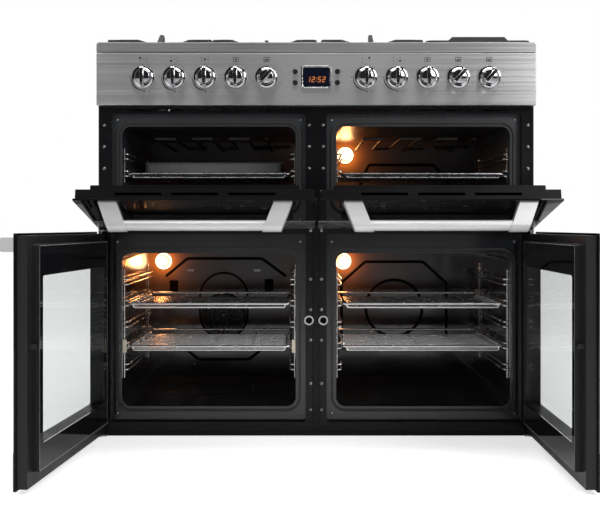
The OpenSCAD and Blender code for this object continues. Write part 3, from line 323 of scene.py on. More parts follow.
nodeFinish = {
    "base_frame": "frameEnamel", "side_panels": "sidePaint", "back_panel": "zincSheet",
    "front_frame": "frameEnamel", "lower_ovens": "ovenEnamel", "upper_ovens": "upperEnamel",
    "door_seals": "sealRubber", "control_panel": "panelSteel", "hob_top": "hobSteel",
    "display": "blackPlastic", "control_gear": "controlMetal", "burner_bodies": "burnerAlloy",
    "burner_caps": "capEnamel", "pan_supports": "castIron", "hotplate_glass": "hobGlass",
    "griddle_plate": "castIron", "shelf_runners": "wireChrome", "fan_guard": "frameEnamel",
    "fan": "fanSteel", "oven_lamps": "lampGlass", "grill_element": "elementTube",
    "grill_pan": "panEnamel", "door_hardware": "hingeSteel"}
# nodes that there are several of, by how their names begin and end
for begins, ends, look in (
        ("button", "", "blackPlastic"), ("tap_stem", "", "stemBrass"), ("knob", "", "knobChrome"),
        ("shelf_left", "", "wireChrome"), ("shelf_right", "", "wireChrome"), ("shelf_upper", "", "upperWire"),
        ("lower", "door_frame", "doorPaint"), ("upper", "door_frame", "upperPaint"),
        ("", "door_glass", "blackGlass"), ("", "door_handle", "satinSteel")):
    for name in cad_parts:
        if name.startswith(begins) and name.endswith(ends):
            nodeFinish[name] = look
for name, look in nodeFinish.items():
    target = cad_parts[name]
    if not target.data.materials:
        target.data.materials.append(finish[look])
    for materialSlot in target.material_slots:
        materialSlot.material = finish[look]

# the strips at the feet of the doors are smoother steel than the handles in the same nodes
footStrip = {"upperFrontY": -0.345, "lowerTopZ": 0.08}
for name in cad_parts:
    if name.endswith("door_handle"):
        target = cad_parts[name]
        target.data.materials.append(finish["stripSteel"])
        for polygon in target.data.polygons:
            spot = target.matrix_world @ polygon.center
            if name.startswith("upper"):
                onStrip = spot.y > footStrip["upperFrontY"]
            else:
                onStrip = spot.z < footStrip["lowerTopZ"]
            if onStrip:
                polygon.material_index = len(target.data.materials) - 1
print("stage: finishes on", len(nodeFinish), "nodes")


# mesh helpers, in mm
def addPoints(bm, points, place=None):
    return [bm.verts.new(place @ Vector(p) if place else Vector(p)) for p in points]


def addBox(bm, lo, hi, place=None):
    corners = [(x, y, z) for x in (lo[0], hi[0]) for y in (lo[1], hi[1]) for z in (lo[2], hi[2])]
    verts = addPoints(bm, corners, place)
    for face in ((0, 1, 3, 2), (4, 6, 7, 5), (0, 4, 5, 1), (2, 3, 7, 6), (0, 2, 6, 4), (1, 5, 7, 3)):
        bm.faces.new([verts[k] for k in face])


def addPrism(bm, outline, y0, y1, place=None):
    # an outline of (x, z) points, extruded from y0 to y1
    near, far = (addPoints(bm, [(x, y, z) for x, z in outline], place) for y in (y0, y1))
    bm.faces.new(near)
    bm.faces.new(list(reversed(far)))
    for i in range(len(outline)):
        j = (i + 1) % len(outline)
        bm.faces.new((near[i], far[i], far[j], near[j]))


def addRing(bm, outer, inner, y0, y1, place=None):
    # a flat frame between two outlines with the same number of points
    a0, a1, b0, b1 = (addPoints(bm, [(x, y, z) for x, z in outline], place)
                      for outline in (outer, inner) for y in (y0, y1))
    for i in range(len(outer)):
        j = (i + 1) % len(outer)
        bm.faces.new((a0[i], b0[i], b0[j], a0[j]))
        bm.faces.new((a1[i], a1[j], b1[j], b1[i]))
        bm.faces.new((a0[i], a0[j], a1[j], a1[i]))
        bm.faces.new((b0[i], b1[i], b1[j], b0[j]))


def addLathe(bm, profile, steps, place):
    # a profile of (radius, height) points, turned about the local Z; a radius of 0 makes a pole
    turns = [2 * math.pi * k / steps for k in range(steps)]
    rings = [addPoints(bm, [(r * math.cos(a), r * math.sin(a), h) for a in (turns if r else [0])], place)
             for r, h in profile]
    for low, high in zip(rings, rings[1:]):
        for k in range(steps):
            m = (k + 1) % steps
            if len(low) == 1:
                bm.faces.new((low[0], high[k], high[m]))
            elif len(high) == 1:
                bm.faces.new((low[k], high[0], low[m]))
            else:
                bm.faces.new((low[k], high[k], high[m], low[m]))


def addTube(bm, points, radius, sides, closed=False):
    # a round wire along a line of points
    pts = [Vector(p) for p in points]
    n = len(pts)
    rings = []
    up = None
    for i, p in enumerate(pts):
        if closed:
            way = (pts[(i + 1) % n] - pts[i - 1]).normalized()
        else:
            way = (pts[min(i + 1, n - 1)] - pts[max(i - 1, 0)]).normalized()
        if up is None:
            up = way.orthogonal().normalized()
        up = (up - way * up.dot(way)).normalized()
        side = way.cross(up)
        turns = [2 * math.pi * k / sides for k in range(sides)]
        rings.append(addPoints(bm, [p + radius * (math.cos(a) * up + math.sin(a) * side) for a in turns]))
    for i in range(n if closed else n - 1):
        a, b = rings[i], rings[(i + 1) % n]
        for k in range(sides):
            m = (k + 1) % sides
            bm.faces.new((a[k], a[m], b[m], b[k]))
    if not closed:
        bm.faces.new(list(reversed(rings[0])))
        bm.faces.new(rings[-1])


def bend(points, radius, steps=5):
    # rounds the inner corners of a line of points
    pts = [Vector(p) for p in points]
    out = [pts[0]]
    for a, b, c in zip(pts, pts[1:], pts[2:]):
        r = min(radius, (a - b).length * 0.49, (c - b).length * 0.49)
        p, q = b + (a - b).normalized() * r, b + (c - b).normalized() * r
        for k in range(steps + 1):
            t = k / steps
            out.append(p * (1 - t) ** 2 + b * 2 * t * (1 - t) + q * t ** 2)
    out.append(pts[-1])
    return out


def polar(cx, cz, r, degrees):
    a = math.radians(degrees)
    return cx + r * math.cos(a), cz + r * math.sin(a)


def roundLine(cx, cz, r, start, stop, steps=24):
    return [polar(cx, cz, r, start + (stop - start) * k / steps) for k in range(steps + 1)]


def roundOutline(x0, z0, x1, z1, r, steps=6):
    points = []
    for cx, cz, start in ((x1 - r, z1 - r, 0), (x0 + r, z1 - r, 90),
                          (x0 + r, z0 + r, 180), (x1 - r, z0 + r, 270)):
        points += roundLine(cx, cz, r, start, start + 90, steps)
    return points


def turned(degrees, axis="Z"):
    return Matrix.Rotation(math.radians(degrees), 4, axis)


def placeFacing(x, y, z, degrees):
    # a place whose local Z points forward at 90 degrees, and back at -90
    return Matrix.Translation((x, y, z)) @ turned(degrees, "X")


def addPiece(name, bm, look, body, smooth=True, bevel=0.0, angle=40):
    bmesh.ops.recalc_face_normals(bm, faces=bm.faces)
    bmesh.ops.scale(bm, vec=(mm, mm, mm), verts=bm.verts)
    mesh = bpy.data.meshes.new(name)
    bm.to_mesh(mesh)
    bm.free()
    piece = addObject(name, mesh)
    mesh.materials.append(finish[look])
    if smooth:
        mesh.shade_smooth()
        mesh.set_sharp_from_angle(angle=math.radians(angle))
    if bevel:
        rounding = piece.modifiers.new("rounding", "BEVEL")
        rounding.width = bevel * mm
        rounding.segments = 3
        rounding.limit_method = "ANGLE"
        rounding.angle_limit = math.radians(35)
    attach(piece, body)
    return piece


def doorPlace(tier, side):
    # from a door's own frame, in mm, to where the door stands
    if tier == "lower":
        place = (Matrix.Translation((-cooker["halfW"] + door["hingeIn"], door["hingeY"], door["lowerZ"]))
                 @ turned(-door[side + "Open"])
                 @ Matrix.Translation((-door["hingeIn"], -door["hingeBack"], 0)))
    else:
        place = (placeFacing(-cooker["halfW"], door["hingeY"], door["upperHingeZ"], door["upperOpen"])
                 @ Matrix.Translation((0, -door["hingeBack"], -door["upperHingeUp"])))
    if side == "right":
        place = Matrix.Scale(-1, 4, (1, 0, 0)) @ place
    return place


# knobs
knob = {"radius": 26, "height": 31, "gap": 4, "grip": 9, "first": 113, "pitch": 70, "turned": 42,
        "steps": 56, "hole": 3.2, "rim": 3.0, "bellIn": 9.4, "bellUp": 10.8, "face": 15.2,
        "gripFoot": 4, "gripFlat": 0.86, "gripEnd": 0.965, "pointer": (6, 6.5)}


def knobX(n):
    return -knob["first"] - (5 - n) * knob["pitch"] if n <= 5 else knob["first"] + (n - 6) * knob["pitch"]


def makeKnob(n):
    place = (placeFacing(knobX(n), cooker["panelY"] - knob["gap"], cooker["knobZ"], 90)
             @ turned(-knob["turned"] if n in ovenKnobs else 0))
    # from the hole for the stem round the rim, then over the bell to its flat face
    r, hole, rim, face = knob["radius"], knob["hole"], knob["rim"], knob["face"]
    profile = [(hole, 14), (hole, 0.4), (r - 1.2, 0.4), (r - 0.4, 0), (r, 0.6), (r, 2.2), (r - 0.5, rim)]
    for k in range(1, 13):
        a = math.radians(7.5 * k)
        profile.append((r - 0.8 - knob["bellIn"] * math.sin(a), rim + knob["bellUp"] * (1 - math.cos(a))))
    profile += [(r - 10.6, face - 0.6), (r - 11.4, face - 0.2), (0, face)]
    bm = bmesh.new()
    addLathe(bm, profile, knob["steps"], place)
    body = addPiece("knobBell_%d" % n, bm, "knobChrome", "knob_%d" % n, angle=50)
    # the bar grip is a rounded wall with sloping ends
    half, h, foot = knob["grip"] / 2, knob["height"], knob["gripFoot"]
    flank = [(r - 2.2, foot), (r - 4.5, 22), (r - 6.6, h - 2), (r - 9, h - 0.4)]
    outline = [(-y, z) for y, z in flank] + [(0, h)] + flank[::-1]
    flat, end = half * knob["gripFlat"], knob["gripEnd"]
    bm = bmesh.new()
    rings = [addPoints(bm, [(x, y * size, foot + (z - foot) * size) for y, z in outline], place)
             for x, size in ((-half, end), (-flat, 1), (flat, 1), (half, end))]
    for a, b in zip(rings, rings[1:]):
        for i in range(len(outline) - 1):
            bm.faces.new((a[i], a[i + 1], b[i + 1], b[i]))
        bm.faces.new((a[0], b[0], b[-1], a[-1]))
    bm.faces.new(rings[0])
    bm.faces.new(list(reversed(rings[-1])))
    addPiece("knobGrip_%d" % n, bm, "knobChrome", "knob_%d" % n, bevel=0.9, angle=30)
    bm = bmesh.new()
    inner, outer = knob["pointer"]
    addBox(bm, (-0.8, inner, h - 0.7), (0.8, r - outer, h + 0.08), place)
    addPiece("knobPointer_%d" % n, bm, "printBlack", "knob_%d" % n)
    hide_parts("knob_%d" % n)


for n in range(1, 11):
    makeKnob(n)
print("stage: knobs made")

# wire shelves with round wires
shelf = {"rimRod": 2.95, "frontRod": 2.3, "wire": 1.5, "longRod": 2.0, "count": 19, "depth": 372,
         "front": 6, "half": 188, "lift": 5.3, "drop": 8.5, "dropIn": 12, "sink": 6.5, "bendIn": 6,
         "corner": 9, "joint": 20, "backIn": 3, "backBare": 60, "longX": 94, "wireDown": 1, "riseIn": 16,
         "places": {"shelf_left_high": (-248, 296.5), "shelf_left_low": (-248, 197.5),
                    "shelf_right_high": (248, 296.5), "shelf_right_low": (248, 197.5),
                    "shelf_upper_left": (-248, 597), "shelf_upper_right": (248, 597)}}


def makeShelf(name, centre, level):
    y0 = cooker["flangeY"] + shelf["front"]
    y1 = y0 + shelf["depth"]
    z = level + shelf["lift"]
    x0, x1 = centre - shelf["half"], centre + shelf["half"]
    back, joint = y1 - shelf["backIn"], (x0, y0 + shelf["joint"], z)
    bm = bmesh.new()
    rim = [joint, (x0, back, z), (x1, back, z), (x1, y0, z), (x0, y0, z), joint]
    addTube(bm, bend(rim, shelf["corner"]), shelf["rimRod"], 12)
    d0, d1, low = x0 + shelf["dropIn"], x1 - shelf["dropIn"], z - shelf["drop"]
    addTube(bm, bend([(d0, y0, z), (d0, y0, low), (d1, y0, low), (d1, y0, z)], 6), shelf["frontRod"], 10)
    # the cross wires of the lower shelves bend down at their ends, so that the grid lies below the rim
    sink = 0 if "upper" in name else shelf["sink"]
    turn, over = shelf["bendIn"], z - shelf["wireDown"]
    for i in range(1, shelf["count"] + 1):
        y = y0 + i * (shelf["depth"] - shelf["backBare"]) / shelf["count"]
        wire = [(x0, y, over), (x1, y, over)]
        if sink:
            wire[1:1] = [(x0 + turn, y, over), (x0 + 2 * turn, y, over - sink),
                         (x1 - 2 * turn, y, over - sink), (x1 - turn, y, over)]
            wire = bend(wire, 4, 3)
        addTube(bm, wire, shelf["wire"], 8)
    for x in (centre - shelf["longX"], centre, centre + shelf["longX"]):
        if sink:
            under = z - sink - 3.6
            wire = bend([(x, y0, under), (x, y1 - shelf["riseIn"], under), (x, back, z - 2)], 5, 3)
            addTube(bm, wire, shelf["wire"], 8)
        else:
            addTube(bm, [(x, y0, z - 1.6), (x, back, z - 3.2)], shelf["longRod"], 8)
    piece = addPiece(name + "Wires", bm, nodeFinish[name], name, angle=60)
    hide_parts(name)


for name, (centre, level) in shelf["places"].items():
    makeShelf(name, centre, level)
print("stage: shelves made")

# side racks that carry the shelves, each of posts and pairs of rails
rack = {"post": 1.2, "rail": 1.9, "stub": 1.6, "wallGap": 2.3, "in": 13, "pair": 12, "front": 12,
        "back": 60, "postIn": 8, "lower": (148, 197.5, 247, 296.5, 346), "lowerPosts": (128, 380),
        "upper": (597, 637), "upperPosts": (583, 663)}
y0, y1 = cooker["flangeY"] + rack["front"], cooker["backWallY"] - rack["back"]
postY = (y0 + rack["postIn"], y1 - rack["postIn"])
bm = bmesh.new()
for centre in ovenCentres:
    for s in (-1, 1):
        wall = centre + s * cooker["cavityW"] / 2
        xw, xr = wall - s * rack["wallGap"], wall - s * rack["in"]
        for tier in ("lower", "upper"):
            low, high = rack[tier + "Posts"]
            for y in postY:
                addTube(bm, [(xw, y, low), (xw, y, high)], rack["post"], 8)
            for z in [level + up for level in rack[tier] for up in (0, rack["pair"])]:
                rail = [(xw, y0 + 1, z), (xr, y0 + 1, z), (xr, y1 - 1, z), (xw, y1 - 1, z)]
                addTube(bm, bend(rail, 8), rack["rail"], 8)
                for y in postY:
                    addTube(bm, [(xw, y, z), (xr, y, z)], rack["stub"], 8)
piece = addPiece("sideRacks", bm, "wireChrome", "cooker", angle=60)
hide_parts("shelf_runners")

# cream blocks at the front ends of the low left rack
railEnd = {"z": (188, 218), "w": 9, "depth": 10, "wallGap": 0.4, "frontY": cooker["flangeY"] + 1}
bm = bmesh.new()
for s in (-1, 1):
    wall = ovenCentres[0] + s * cooker["cavityW"] / 2
    x0, x1 = sorted((wall - s * railEnd["wallGap"], wall - s * railEnd["w"]))
    addBox(bm, (x0, railEnd["frontY"], railEnd["z"][0]),
           (x1, railEnd["frontY"] + railEnd["depth"], railEnd["z"][1]))
addPiece("railEndBlocks", bm, "creamPlastic", "cooker", bevel=1.5)
print("stage: racks made")

# door glasses: a black printed border round a clear window, outside and inside
pane = {"innerFit": 1.8, "innerThick": 4, "printIn": 0.3, "windowFit": 0.02, "edgeIn": 0.2,
        "edgeWide": 1.4, "edgeUp": 0.03, "edgeDeep": 0.5}


def makeDoorGlass(tier, side):
    place = doorPlace(tier, side)
    w, h, low = door["w"], door[tier + "H"], door[tier + "Low"]
    z0, windowH = door[tier + "Window"]
    x0 = (w - door["windowW"]) / 2
    x1, z1 = x0 + door["windowW"], z0 + windowH
    y1 = door["shell"] + door["liner"]
    y0 = y1 - pane["innerThick"]
    body = "%s_%s_door" % (tier, side)
    tag = "%s%sDoor" % (tier, side.capitalize())

    def innerOutline(more, r):
        # the outline of the inner glass, drawn in by so much more
        fit = pane["innerFit"] + more
        return roundOutline(door["sideInset"] + fit, low + fit, w - door["sideInset"] - fit,
                            h - door["topInset"] - fit, r)

    hole = roundOutline(x0, z0, x1, z1, 6)
    bm = bmesh.new()
    addRing(bm, roundOutline(0, 0, w, h, 3), hole, 0, door["glass"], place)
    outer = addPiece(tag + "OuterBorder", bm, "blackGlass", body, bevel=0.5)
    bm = bmesh.new()
    addRing(bm, innerOutline(0, 3), hole, y0, y1, place)
    addPiece(tag + "InnerBorder", bm, "blackGlass", body, bevel=0.5)
    fit, thin = pane["windowFit"], pane["printIn"]
    window = roundOutline(x0 + fit, z0 + fit, x1 - fit, z1 - fit, 6)
    bm = bmesh.new()
    addPrism(bm, window, thin, door["glass"] - thin, place)
    addPrism(bm, window, y0 + thin, y1 - thin, place)
    addPiece(tag + "Window", bm, "windowGlass" if tier == "lower" else "smokedGlass", body)
    # the cut edge of the inner glass
    bm = bmesh.new()
    addRing(bm, innerOutline(pane["edgeIn"], 4.2), innerOutline(pane["edgeIn"] + pane["edgeWide"], 3),
            y1 - pane["edgeDeep"], y1 + pane["edgeUp"], place)
    addPiece(tag + "InnerEdge", bm, "glassEdge", body)
    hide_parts("%s_%s_door_glass" % (tier, side))


for tier in ("lower", "upper"):
    for side in ("left", "right"):
        makeDoorGlass(tier, side)
print("stage: door glasses made")

# clock display: its bars are named as on any seven-bar digit
display = {"z": 820, "w": 69, "h": 53, "bezelIn": 4.2, "windowIn": 4.1, "bezelY": (-304.2, -300.05),
           "windowY": (-302.9, -302.25), "digitY": (-303.1, -302.85), "digitDown": 5, "digitH": 12.5,
           "digitW": 6.6, "stroke": 1.5, "barGap": 0.15, "text": "1252", "places": (-17.2, -7.0, 7.0, 17.2),
           "slant": 0.12, "bars": {"1": "bc", "2": "abged", "5": "afgcd"}}


def displayOutline(inset, r):
    w, h = display["w"] / 2 - inset, display["h"] / 2 - inset
    return roundOutline(-w, display["z"] - h, w, display["z"] + h, r)


def addDigit(bm, cx, cz, digit):
    w, h, t = display["digitW"] / 2, display["digitH"] / 2, display["stroke"]
    bars = {"a": (-w, h - t, w, h), "g": (-w, -t / 2, w, t / 2), "d": (-w, -h, w, -h + t),
            "f": (-w, 0, -w + t, h), "b": (w - t, 0, w, h), "e": (-w, -h, -w + t, 0), "c": (w - t, -h, w, 0)}
    gap = display["barGap"]
    for key in display["bars"][digit]:
        x0, z0, x1, z1 = bars[key]
        corners = [(x0 + gap, z0 + gap), (x1 - gap, z0 + gap), (x1 - gap, z1 - gap), (x0 + gap, z1 - gap)]
        addPrism(bm, [(cx + x + z * display["slant"], cz + z) for x, z in corners], *display["digitY"])


bm = bmesh.new()
addRing(bm, displayOutline(0, 7), displayOutline(display["bezelIn"], 4), *display["bezelY"])
addPiece("displayBezel", bm, "ringChrome", "cooker", bevel=1.3)
bm = bmesh.new()
addPrism(bm, displayOutline(display["windowIn"], 4), *display["windowY"])
addPiece("displayWindow", bm, "displayGlass", "cooker")
bm = bmesh.new()
for digit, x in zip(display["text"], display["places"]):
    addDigit(bm, x, display["z"] - display["digitDown"], digit)
for z in (display["z"] - 9, display["z"] - 3):
    addPrism(bm, roundOutline(-0.8, z, 0.8, z + 1.6, 0.7, 2), *display["digitY"])
addPiece("displayDigits", bm, "digitGlow", "cooker", smooth=False)
print("stage: display made")

# screws with a pressed cross, on the front frame and in the oven flanges
screw = {"steps": 20, "cross": 0.35, "turn": 20, "front": 3.6, "flange": 3.2,
         "topX": (-487, 487, -16, 16), "topZ": (714, 664, 614),
         "postX": (-12.5, 12.5), "postZ": (560, 472, 360, 290, 220, 120, 60),
         "stileX": (-491, 491), "stileZ": (420, 300, 150, 60),
         "flangeX": (-212, 212), "flangeZ": (518, 727, 48, 446)}


def addScrew(bm, slots, x, y, z, r):
    place = placeFacing(x, y, z, 90)
    addLathe(bm, [(0, 1.5), (r * 0.45, 1.45), (r * 0.8, 1.1), (r, 0.3), (r, -0.4)], screw["steps"], place)
    for a in (0, 90):
        addBox(slots, (-r * 0.5, -screw["cross"], 1.2), (r * 0.5, screw["cross"], 1.53),
               place @ turned(a + screw["turn"]))


bm, slots = bmesh.new(), bmesh.new()
for row in ("top", "post", "stile"):
    for z in screw[row + "Z"]:
        for x in screw[row + "X"]:
            addScrew(bm, slots, x, cooker["borderY"], z, screw["front"])
for centre in ovenCentres:
    for dx in screw["flangeX"]:
        for z in screw["flangeZ"]:
            addScrew(bm, slots, centre + dx, cooker["flangeY"], z, screw["flange"])
addPiece("frontScrews", bm, "screwSteel", "cooker", angle=50)
addPiece("frontScrewSlots", slots, "printBlack", "cooker", smooth=False)
print("stage: screws made")

# printed marks on the panel: plain arcs, dots, ticks and numbers
dial = {"inkY": (cooker["panelY"] - 0.06, cooker["panelY"] + 0.1), "zeroUp": 29.6, "iconUp": 41,
        "arcRadius": 29.2, "arcWidth": 2.4, "arcTip": 0.18, "arcFrom": 172, "arcTo": 282,
        "gasDots": ((-33.0, 1, 1.3), (1.5, -32.4, 1.8), (13, -31.0, 1.2)),
        "spots": {1: (-7.5, 3.4), 2: (-7.5, -3.4), 3: (0, 0), 6: (7.5, 3.4), 7: (7.5, -3.4)},
        "spotLit": 2.6, "spotDim": 1.15, "tickIn": 28.6, "tickOut": 31.4, "shortTick": 1.2,
        "zoneStep": 45, "zoneNumber": 33.6, "zoneSize": 3.6, "ovenFrom": 48, "ovenStep": 23.5,
        "ovenNumber": 34.2, "ovenSize": 3.2, "ovenText": ("50", "100", "150", "200", "250"),
        "zeroDot": 0.8, "zoneDot": 2.4, "zoneIcon": (6.5, 5, 1.2), "ovenIcon": (6.8, 5.4, 1.4),
        "buttonX": 48, "buttonZ": 12.5, "buttonTick": (9.5, 12.5), "barX": 59, "barHalf": 1.5,
        "buttonInk": 0.6}


def addMark(bm, outline):
    addPrism(bm, outline, *dial["inkY"])


def addArc(bm, cx, cz, steps=22):
    # a crescent that is widest in its middle
    radius, wide, start, stop = dial["arcRadius"], dial["arcWidth"], dial["arcFrom"], dial["arcTo"]
    outer, inner = [], []
    for k in range(steps + 1):
        t = k / steps
        half = dial["arcTip"] + wide / 2 * math.sin(math.pi * t)
        outer.append(polar(cx, cz, radius + half, start + (stop - start) * t))
        inner.append(polar(cx, cz, radius - half, start + (stop - start) * t))
    for k in range(steps):
        addMark(bm, [outer[k], outer[k + 1], inner[k + 1], inner[k]])


def addDot(bm, cx, cz, r, steps=10):
    addMark(bm, roundLine(cx, cz, r, 0, 360, steps)[:-1])


def addTick(bm, cx, cz, r0, r1, angle, wide=0.5):
    c, s = polar(0, 0, 1, angle)
    ends = ((r0, -wide / 2), (r1, -wide / 2), (r1, wide / 2), (r0, wide / 2))
    addMark(bm, [(cx + r * c - w * s, cz + r * s + w * c) for r, w in ends])


def addIcon(bm, x, z, halfW, halfH, line):
    # a plain frame, as round the signs for a zone or an oven
    addRing(bm, roundOutline(x - halfW, z - halfH, x + halfW, z + halfH, 1, 2),
            roundOutline(x - halfW + line, z - halfH + line, x + halfW - line, z + halfH - line, 0.6, 2),
            *dial["inkY"])


def addNumber(bm, text, cx, cz, size):
    curve = bpy.data.curves.new("number", "FONT")
    curve.body = text
    curve.size = size
    curve.align_x = "CENTER"
    curve.align_y = "CENTER"
    curve.resolution_u = 2
    holder = addObject("number", curve)
    bpy.context.view_layer.update()
    flat = holder.to_mesh()
    verts = addPoints(bm, [(cx + v.co.x, dial["inkY"][0], cz + v.co.y) for v in flat.vertices])
    for face in flat.polygons:
        bm.faces.new([verts[i] for i in face.vertices])
    holder.to_mesh_clear()
    bpy.data.objects.remove(holder)
    bpy.data.curves.remove(curve)


bm = bmesh.new()
z = cooker["knobZ"]
top = z + dial["iconUp"]
tickIn, tickOut = dial["tickIn"], dial["tickOut"]
for n in range(1, 11):
    x = knobX(n)
    addDot(bm, x, z + dial["zeroUp"], dial["zeroDot"])
    if n in gasKnobs:
        # the sign shows the five burners, with the knob's own one larger
        addArc(bm, x, z)
        for dx, dz, r in dial["gasDots"]:
            addDot(bm, x + dx, z + dz, r, 6)
        for burnerKnob, (dx, dz) in dial["spots"].items():
            addDot(bm, x + dx, top + dz, dial["spotLit"] if burnerKnob == n else dial["spotDim"])
    elif n in zoneKnobs:
        for k in range(1, 7):
            a = 90 - dial["zoneStep"] * k
            addTick(bm, x, z, tickIn, tickOut, a)
            addNumber(bm, str(k), *polar(x, z, dial["zoneNumber"], a), dial["zoneSize"])
        addIcon(bm, x, top, *dial["zoneIcon"])
        addDot(bm, x, top, dial["zoneDot"])
    else:
        for k in range(12):
            short = dial["shortTick"] if k % 2 else 0
            addTick(bm, x, z, tickIn, tickOut - short, dial["ovenFrom"] - dial["ovenStep"] * k)
        for k, text in enumerate(dial["ovenText"]):
            a = dial["ovenFrom"] - dial["ovenStep"] * (2 * k + 1)
            addNumber(bm, text, *polar(x, z, dial["ovenNumber"], a), dial["ovenSize"])
        addIcon(bm, x, top, *dial["ovenIcon"])
        addMark(bm, roundOutline(x - 3.8, top - 2.8, x + 3.8, top + 0.8, 0.5, 2))
# a tick beside each button, and three short bars further out
near, far = dial["buttonTick"]
for s in (-1, 1):
    for dz in (-dial["buttonZ"], dial["buttonZ"]):
        r0, r1 = sorted((s * near, s * far))
        addTick(bm, s * dial["buttonX"], display["z"] + dz, r0, r1, 0, dial["buttonInk"])
for dz, s in ((dial["buttonZ"], 1), (dial["buttonZ"], -1), (-dial["buttonZ"], 1)):
    addTick(bm, s * dial["barX"], display["z"] + dz, -dial["barHalf"], dial["barHalf"], 90, dial["buttonInk"])
addPiece("panelMarks", bm, "printBlack", "cooker", smooth=False)
print("stage: panel marks made")

# beads pressed into the oven floors, one ring inside another: drawn in by so much, from this y
floorBead = {"radius": 1.6, "up": 0.2, "round": 20, "half": 120, "backY": 130,
             "rings": ((0, -70), (-22, -30))}
bm = bmesh.new()
for centre in ovenCentres:
    for floorZ in (cooker["lowerZ"], cooker["upperZ"]):
        z = floorZ + floorBead["up"]
        for grow, y0 in floorBead["rings"]:
            x0, x1 = centre - floorBead["half"] - grow, centre + floorBead["half"] + grow
            y1 = floorBead["backY"] + grow
            line = [(x0, y0, z), (x1, y0, z), (x1, y1, z), (x0, y1, z), (x0, y0, z)]
            addTube(bm, bend(line, floorBead["round"]), floorBead["radius"], 8)
addPiece("floorBeads", bm, "ovenEnamel", "cooker", angle=60)

# the crests of the beads pressed into the back walls, in (x, z) lines, drawn matte black as painted shade
backBead = {"radius": 4.1, "archRadius": 3.2, "y": 183.4, "round": 5, "archWide": 132,
            "arch": (-248, 170.5, 352.5), "circle": (223, 255, 78),
            "lines": (((-368, 153), (-318, 113), (-178, 113), (-128, 153)),
                      ((-408, 343), (-349, 392), (-143, 392), (-76, 343))),
            "rings": (((78, 145), (78, 325), (143, 383), (303, 383), (368, 325), (368, 145)),
                      ((118, 569), (153, 651), (333, 651), (398, 569)),
                      ((-378, 569), (-343, 651), (-163, 651), (-98, 569)))}


def addBackBead(bm, line, radius, closed=False):
    # a line with corners has them rounded; a closed one is round already
    points = [(x, backBead["y"], z) for x, z in line]
    addTube(bm, points if closed else bend(points, backBead["round"]), radius, 10, closed)


bm = bmesh.new()
for line in backBead["lines"] + tuple(line + line[:1] for line in backBead["rings"]):
    addBackBead(bm, line, backBead["radius"])
cx, low, high = backBead["arch"]
r = backBead["archWide"] / 2
arch = roundLine(cx, high - r, r, 0, 180) + roundLine(cx, low + r, r, 180, 360)
addBackBead(bm, arch, backBead["archRadius"], closed=True)
cx, cz, r = backBead["circle"]
addBackBead(bm, roundLine(cx, cz, r, 0, 355, 40), backBead["radius"], closed=True)
# the beads in matte black: painted shade where they look dark
addPiece("backWallBeadShade", bm, "beadEnamel", "cooker", angle=60)

# screws, clips and plates on the back walls of the lower ovens
backWall = {"frontY": 180.6, "guard": (-248, 236, 63), "guardScrew": 2.6, "screw": 3.4,
            "screws": ((-330, 100), (-166, 100), (-100, 340), (180, 120), (316, 120), (420, 360)),
            "clips": (-340, -156), "clipHalf": 9, "clipY": (180.5, 183.2), "clipZ": (356, 362),
            "plates": ((-386, 315), (-123, 318)), "plateHalf": (12, 17), "plateBackY": 183.1}
bm, slots = bmesh.new(), bmesh.new()
cx, cz, r = backWall["guard"]
for k in range(4):
    x, z = polar(cx, cz, r, 45 + 90 * k)
    addScrew(bm, slots, x, backWall["frontY"], z, backWall["guardScrew"])
for x, z in backWall["screws"]:
    addScrew(bm, slots, x, cooker["backWallY"], z, backWall["screw"])
for x in backWall["clips"]:
    (y0, y1), (z0, z1) = backWall["clipY"], backWall["clipZ"]
    addBox(bm, (x - backWall["clipHalf"], y0, z0), (x + backWall["clipHalf"], y1, z1))
addPiece("backWallScrews", bm, "screwSteel", "cooker", angle=50)
bm = bmesh.new()
w, h = backWall["plateHalf"]
for x, z in backWall["plates"]:
    addPrism(bm, roundOutline(x - w, z - h, x + w, z + h, 3), backWall["frontY"], backWall["plateBackY"])
addPiece("backWallPlates", bm, "beadEnamel", "cooker", bevel=0.6)
addPiece("backWallScrewSlots", slots, "printBlack", "cooker", smooth=False)

# rings round the lamps
lampRing = {"inner": 22.3, "outer": 25.5, "top": 24, "foot": 0.2, "shoulder": 3, "height": 6.6}
for i, (x, z) in enumerate(ovenLamps.values()):
    inner, outer, foot = lampRing["inner"], lampRing["outer"], lampRing["foot"]
    profile = [(inner, foot), (outer, foot), (outer, lampRing["shoulder"]),
               (lampRing["top"], lampRing["height"]), (inner, lampRing["height"]), (inner, foot)]
    bm = bmesh.new()
    addLathe(bm, profile, 40, placeFacing(x, cooker["backWallY"], z, 90))
    addPiece("lampRing_%d" % i, bm, "hingeSteel", "cooker")
print("stage: oven details made")

# an igniter and a flame sensor beside each burner, which is given as (x, y, radius)
burner = {"places": ((-367, -128, 36), (-367, 128, 44), (-119, 0, 58), (131, -128, 36), (131, 128, 30)),
          "beside": 6, "angles": (35, 145), "pin": [(0, 12), (0.8, 12), (0.8, 17), (0, 17.6)],
          "ceramic": [(0, 0), (3.2, 0), (3.2, 5), (2.4, 6), (2.4, 12), (0, 12.4)]}
bm, metal = bmesh.new(), bmesh.new()
for x, y, r in burner["places"]:
    for a in burner["angles"]:
        place = Matrix.Translation((*polar(x, y, r + burner["beside"], a), cooker["deckZ"]))
        addLathe(bm, burner["ceramic"], 16, place)
        addLathe(metal, burner["pin"], 10, place)
addPiece("igniterCeramics", bm, "whiteCeramic", "cooker")
addPiece("igniterPins", metal, "screwSteel", "cooker")

